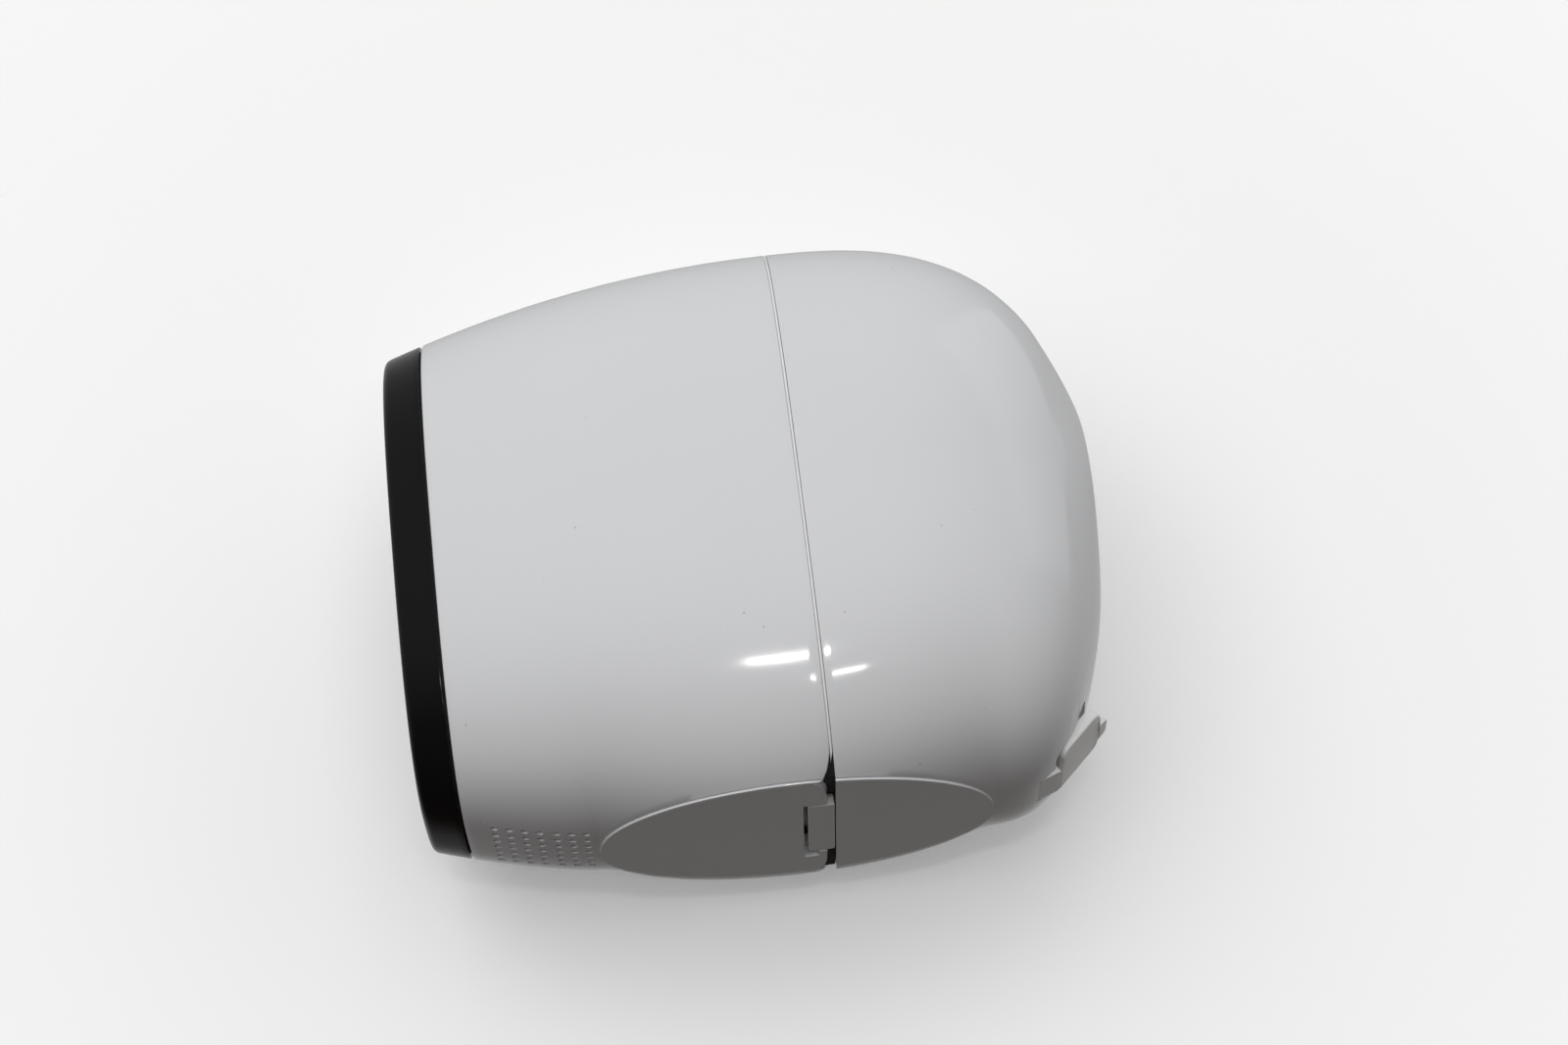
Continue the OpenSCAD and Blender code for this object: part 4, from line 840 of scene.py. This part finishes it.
quarter = pi / 2
screws("sensor_board_screw_set", [(x, -27.05, z) for x, z in face_boss_at], "sensor_board_screws",
       **{"Turn": -quarter, "Head height": 0.001, "Shank length": 0.0045})
screws("main_board_screw_set", [(x, -19.85, z) for x, z in main_at], "main_board_screws",
       **{"Turn": quarter, "Head height": 0.001, "Shank length": 0.004})
screws("chassis_screw_set", [(x, -11.65, z) for x, z in chassis_screw_at], "chassis_screws",
       **{"Turn": -quarter, "Head height": 0.0009, "Shank length": 0.0056})

# ---------------- loudspeaker
# A small square loudspeaker stands over the grille on a rubber gasket, with a woven steel mesh
# below it against dust. Its paper cone faces the holes.
dressed("speaker", black_matte, "black_matte", ease=0.2)
dressed("speaker_gasket", black_rubber, "black_rubber", ease=0.08)
cone = spun("speaker_cone", [(0, 7.0), (1.2, 7.05), (1.7, 7.35), (4.1, 6.85), (4.6, 6.75), (5.0, 6.85), (5.15, 7.0),
                             (5.15, 7.15), (4.0, 7.1), (1.7, 7.55), (0, 7.4)], (0, speaker_y), "Z")
mounted(smooth(cone), black_matte, "black_matte", "camera")
weave = Nodes("woven_mesh", Span=0.0126, Wires=28, Wire=0.00005, Material=steel)
span = weave.times(weave.inputs["Span"], 0.5)
line = weave.add("CurvePrimitiveLine", {"Start": weave.along(X=weave.times(span, -1.0)), "End": weave.along(X=span)})
section = weave.add("CurvePrimitiveCircle", {"Resolution": 4, "Radius": weave.inputs["Wire"]})
wire = weave.add("CurveToMesh", {"Curve": line, "Profile Curve": section, "Fill Caps": True})
ladder = weave.add("MeshLine", {"Count": weave.inputs["Wires"], "Start Location": (0, -0.0062, 0),
                                "Offset": (0, 0.000459, 0)})
sheet = weave.add("InstanceOnPoints", {"Points": ladder, "Instance": wire})
other = weave.move(sheet, Rotation=(0, 0, quarter), Translation=(0, 0, 0.00005))
mesh_sheet = grown("speaker_mesh_weave", weave.end(weave.join(sheet, other)), [(0, speaker_y, 6.05)], steel)
mounted(mesh_sheet, steel, "screw_steel", "camera", "speaker_mesh")

# ---------------- chassis and battery
# The grey inner frame is screwed to the housing's bosses. It carries the main board, the battery
# tray, the contact block with four gilt pins, and the tongue of the charging port.
grey_abs = finish("grey_abs", (0.1, 0.105, 0.11), (0.125, 0.13, 0.135), (0.42, 0.58), 0.5, 0.01)
dressed("chassis", grey_abs, "grey_plastic", ease=0.12)
dressed("contact_block", black_matte, "black_matte", ease=0.15)
battery_black = finish("battery_case", (0.02, 0.021, 0.024), (0.028, 0.029, 0.033), (0.35, 0.5), 0.35, 0.01)
dressed("battery_pack", battery_black, "battery_black", ease=0.8)
dressed("battery_contacts", gold, "gold", ease=0.1)
pin = Nodes("contact_pins", Radius=0.0006, Length=0.0043, Material=gold)
shaft = pin.add("MeshCylinder", {"Vertices": 20, "Radius": pin.inputs["Radius"], "Depth": pin.inputs["Length"]})
shaft = pin.move(shaft, Rotation=(quarter, 0, 0))
tip = pin.add("MeshUVSphere", {"Segments": 20, "Rings": 10, "Radius": 0.00055})
tip = pin.move(tip, Translation=(0, 0.0021, 0))
low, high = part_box("contact_pins")
pin_mid = (low.y + high.y) * 500
pins = grown("contact_pin_set", pin.end(pin.join(shaft, tip)),
             [(x, pin_mid - 0.3, 32.5) for x in (-4.5, -1.5, 1.5, 4.5)], gold, Length=high.y - low.y - 0.0006)
mounted(smooth(pins), gold, "gold", "camera", "contact_pins")

# ---------------- latch spring
# A small coil of steel wire between the chassis tongue and the latch arm pushes the button out.
turns, turn_steps, coil_r, wire_r, coil_low, coil_high = 4, 28, 1.5, 0.15, 3.75, 6.15
rows = []
for i in range(turns * turn_steps + 1):
    a = 2 * pi * i / turn_steps
    z = coil_low + (coil_high - coil_low) * i / (turns * turn_steps)
    rows.append([((coil_r + wire_r * cos(b)) * cos(a), -0.65 + (coil_r + wire_r * cos(b)) * sin(a),
                  z + wire_r * sin(b)) for b in circle(10)])
coil = mounted(smooth(solid("latch_spring_coil", rows, capped=True), 60), steel, "screw_steel", "camera",
               "latch_spring")
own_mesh(coil)

# ---------------- sync button
# The round button on the crown, moulded in white ABS flush with the housing, over a small switch
# on the main board's tab.


def crown(x, y):
    half, up, low, mid = body_at(y)
    return mid + up * (1 - min(1.0, abs(x) / half) ** 2.25) ** (1 / 2.25)


def button_ring(r, height):
    """Circle of the button; height gives z for a place on it."""
    at = [(r * cos(a), button_y + r * sin(a)) for a in circle(72)]
    return [(x, y, height(x, y)) for x, y in at]


rows = [button_ring(r, lambda x, y: crown(x, y) - drop) for r, drop in (
    (0.02, 0.22), (1.2, 0.2), (2.4, 0.13), (3.4, 0.02), (4.1, -0.06), (4.35, 0.0), (4.48, 0.15), (4.5, 0.4))]
rows += [button_ring(r, lambda x, y: z) for r, z in (
    (4.5, crown_z - 3.2), (5.2, crown_z - 3.2), (5.2, crown_z - 4.0), (1.3, crown_z - 4.0), (1.3, 58.9))]
mounted(smooth(solid("sync_button_cap", rows, capped=True)), white_gloss, "white_gloss", "sync",
        "sync_button")
dressed("sync_switch", nickel, "nickel", ease=0.12)

# ---------------- charging port
# The drawn steel shell of the port stands on its own small board, held on the chassis tongue.
dressed("usb_port", nickel, "nickel", ease=0.1)
dressed("usb_board_screws", steel, "screw_steel", ease=0.12)

# ---------------- hinge pin and rear seat
# A steel pin joins the shells. The rear seat is a pressed and plated steel bowl for a magnetic
# ball mount, round a brass insert with the tripod thread.
mounted(lathe_disc("hinge_pin_rod", [(0, -7.1), (0.6, -7.1), (0.75, -6.95), (0.75, 6.95), (0.6, 7.1), (0, 7.1)],
                   (seam_y, hinge_z), 32, "X"), steel, "nickel", "camera", "hinge_pin")
bowl = [(r, dish_y(r)) for r in (4.3, 5.2, 6.2, 7.2, 8.2, 9.1)]
under_bowl = [(r, dish_y(r, 0.74)) for r in (9.33, 8.2, 7.2, 6.2, 5.2, 4.23)]
seat = lathe("dish_plate_bowl", bowl + [(9.28, dish_y(9.28)), (9.35, dish_y(9.35) + 0.02)] + under_bowl
             + [(4.23, dish_y(4.23) + 0.06)], (0, dish_z), 96)
mounted(seat, nickel, "nickel", "door", "dish_plate")
brass = finish("brass", (0.72, 0.47, 0.17), (0.62, 0.4, 0.14), (0.22, 0.34), 0.4, 0.004, Metallic=1.0)
thread = []
for i in range(9):
    y = 31.9 + i * 0.635
    thread += [(2.57, y), (3.05, y + 0.26), (3.05, y + 0.33), (2.57, y + 0.56)]
insert = lathe("tripod_insert_turning", [(3.3, 37.45), (4.0, 37.45), (4.18, 37.25), (4.18, 31.6), (4.0, 31.45),
                                         (2.7, 31.45)] + [(r, y) for r, y in thread if y < 37.0] + [(2.7, 37.1)],
               (0, dish_z), 64)
mounted(insert, brass, "brass", "door", "tripod_insert")

# ---------------- stage, light and camera
# A pale table under the camera's right side and a pale floor under its foot. Each shows from its
# upper side only and fades out. Soft lamps stand at both sides and behind, with two small strips
# for the highlights.
def pale_stage(name, centre, across, along, near, clear, glow):
    """Plate that fades from near to clear, in millimetres from its centre, and glows a little."""
    material = bpy.data.materials.new(name)
    material.use_nodes = True
    tree = material.node_tree
    tree.nodes.clear()
    far = put(tree, "VectorMath", {0: put(tree, "TexCoord").outputs["Object"],
                                             1: [c * 0.001 for c in centre]}, operation="DISTANCE")
    fade = put(tree, "MapRange", {"Value": far.outputs["Value"], "From Min": near * 0.001,
                                            "From Max": clear * 0.001, "To Min": 1.0, "To Max": 0.0},
               interpolation_type="SMOOTHSTEP")
    front = sums(tree, "SUBTRACT", 1.0, put(tree, "NewGeometry").outputs["Backfacing"])
    seen = sums(tree, "MULTIPLY", front, put(tree, "LightPath").outputs["Is Camera Ray"])
    matt = put(tree, "BsdfDiffuse", {"Color": (0.82, 0.82, 0.82, 1)})
    lift = put(tree, "Emission", {"Color": (1, 1, 1, 1), "Strength": glow})
    mix = put(tree, "MixShader", {0: sums(tree, "MULTIPLY", seen, fade),
                                            1: put(tree, "BsdfTransparent"),
                                            2: put(tree, "AddShader", {0: matt, 1: lift})})
    put(tree, "OutputMaterial", {"Surface": mix})
    data = bpy.data.meshes.new(name)
    c, u, v = Vector(centre), Vector(across) * stage_half, Vector(along) * stage_half
    corners = ((-1, -1), (1, -1), (1, 1), (-1, 1))
    data.from_pydata([(c + a * u + b * v) * 0.001 for a, b in corners], [], [(0, 1, 2, 3)])
    thing = linked(name, data)
    data.materials.append(material)


stage_half = 900
pale_stage("floor", (0, 0, -0.05), (1, 0, 0), (0, 1, 0), 120, 420, 0.14)
pale_stage("table", (-24.6, 1.75, 35), (0, 1, 0), (0, 0, 1), 60, 150, 0.12)

world = bpy.data.worlds.new("studio")
bpy.context.scene.world = world
world.use_nodes = True
tree = world.node_tree
tree.nodes.clear()
path = put(tree, "LightPath").outputs
height = put(tree, "SeparateXYZ", {0: put(tree, "TexCoord").outputs["Generated"]})
band = put(tree, "MapRange", {"Value": height.outputs["Z"], "From Min": -0.6, "From Max": 0.22},
           interpolation_type="SMOOTHSTEP")
shade = put(tree, "Mix", {0: band, 6: (0.09, 0.07, 0.058, 1), 7: (1, 1, 1, 1)}, data_type="RGBA")
soft = put(tree, "Background", {"Color": shade.outputs[2], "Strength": 0.45})
white = put(tree, "Background", {"Color": (0.93, 0.93, 0.93, 1), "Strength": 1.0})
mix = put(tree, "MixShader", {
    0: sums(tree, "MAXIMUM", path["Is Camera Ray"], path["Is Transmission Ray"]), 1: soft, 2: white})
put(tree, "OutputWorld", {"Surface": mix})


def lamp(name, place, target, size, power, tall=None):
    data = bpy.data.lights.new(name, "AREA")
    data.energy = power
    data.shape = "RECTANGLE"
    data.size, data.size_y = size, tall or size
    thing = linked(name, data)
    place, target = Vector(place), Vector(target)
    thing.matrix_world = Matrix.Translation(place) @ (target - place).to_track_quat("-Z", "Y").to_matrix().to_4x4()
    return thing


middle = Vector((0, 0.00175, 0.035))
lamp("key", (1.35, -0.3, 0.18), middle, 1.6, 15.5).visible_glossy = False
lamp("rear", (0.2, 1.2, 0.9), middle, 1.3, 2.0)
lamp("far", (-1.2, 0.45, 0.25), middle, 1.5, 10.0).visible_glossy = False
lamp("strip", (0.998, 0.0, -0.195), (0, 0.0018, 0.0116), 0.15, 0.7, 0.04)
lamp("strip_end", (0.95, 0.135, -0.36), (0.02, 0.008, 0.01), 0.1, 0.25, 0.025)

azimuth, elevation, roll, away = radians(87.75), radians(-25.33), radians(-7.33), 0.4152
back = Vector((sin(azimuth) * cos(elevation), -cos(azimuth) * cos(elevation), sin(elevation)))
right = Vector((cos(azimuth), sin(azimuth), 0))
up = back.cross(right)
right, up = cos(roll) * right + sin(roll) * up, -sin(roll) * right + cos(roll) * up
data = bpy.data.cameras.new("view")
data.sensor_width, data.lens = 36.0, 82.125
camera = linked("view", data)
camera.matrix_world = Matrix.Translation(middle + back * away + right * 0.00241 + up * 0.00312) \
    @ Matrix((right, up, back)).transposed().to_4x4()
bpy.context.scene.camera = camera
bpy.context.scene.view_settings.view_transform = "Standard"
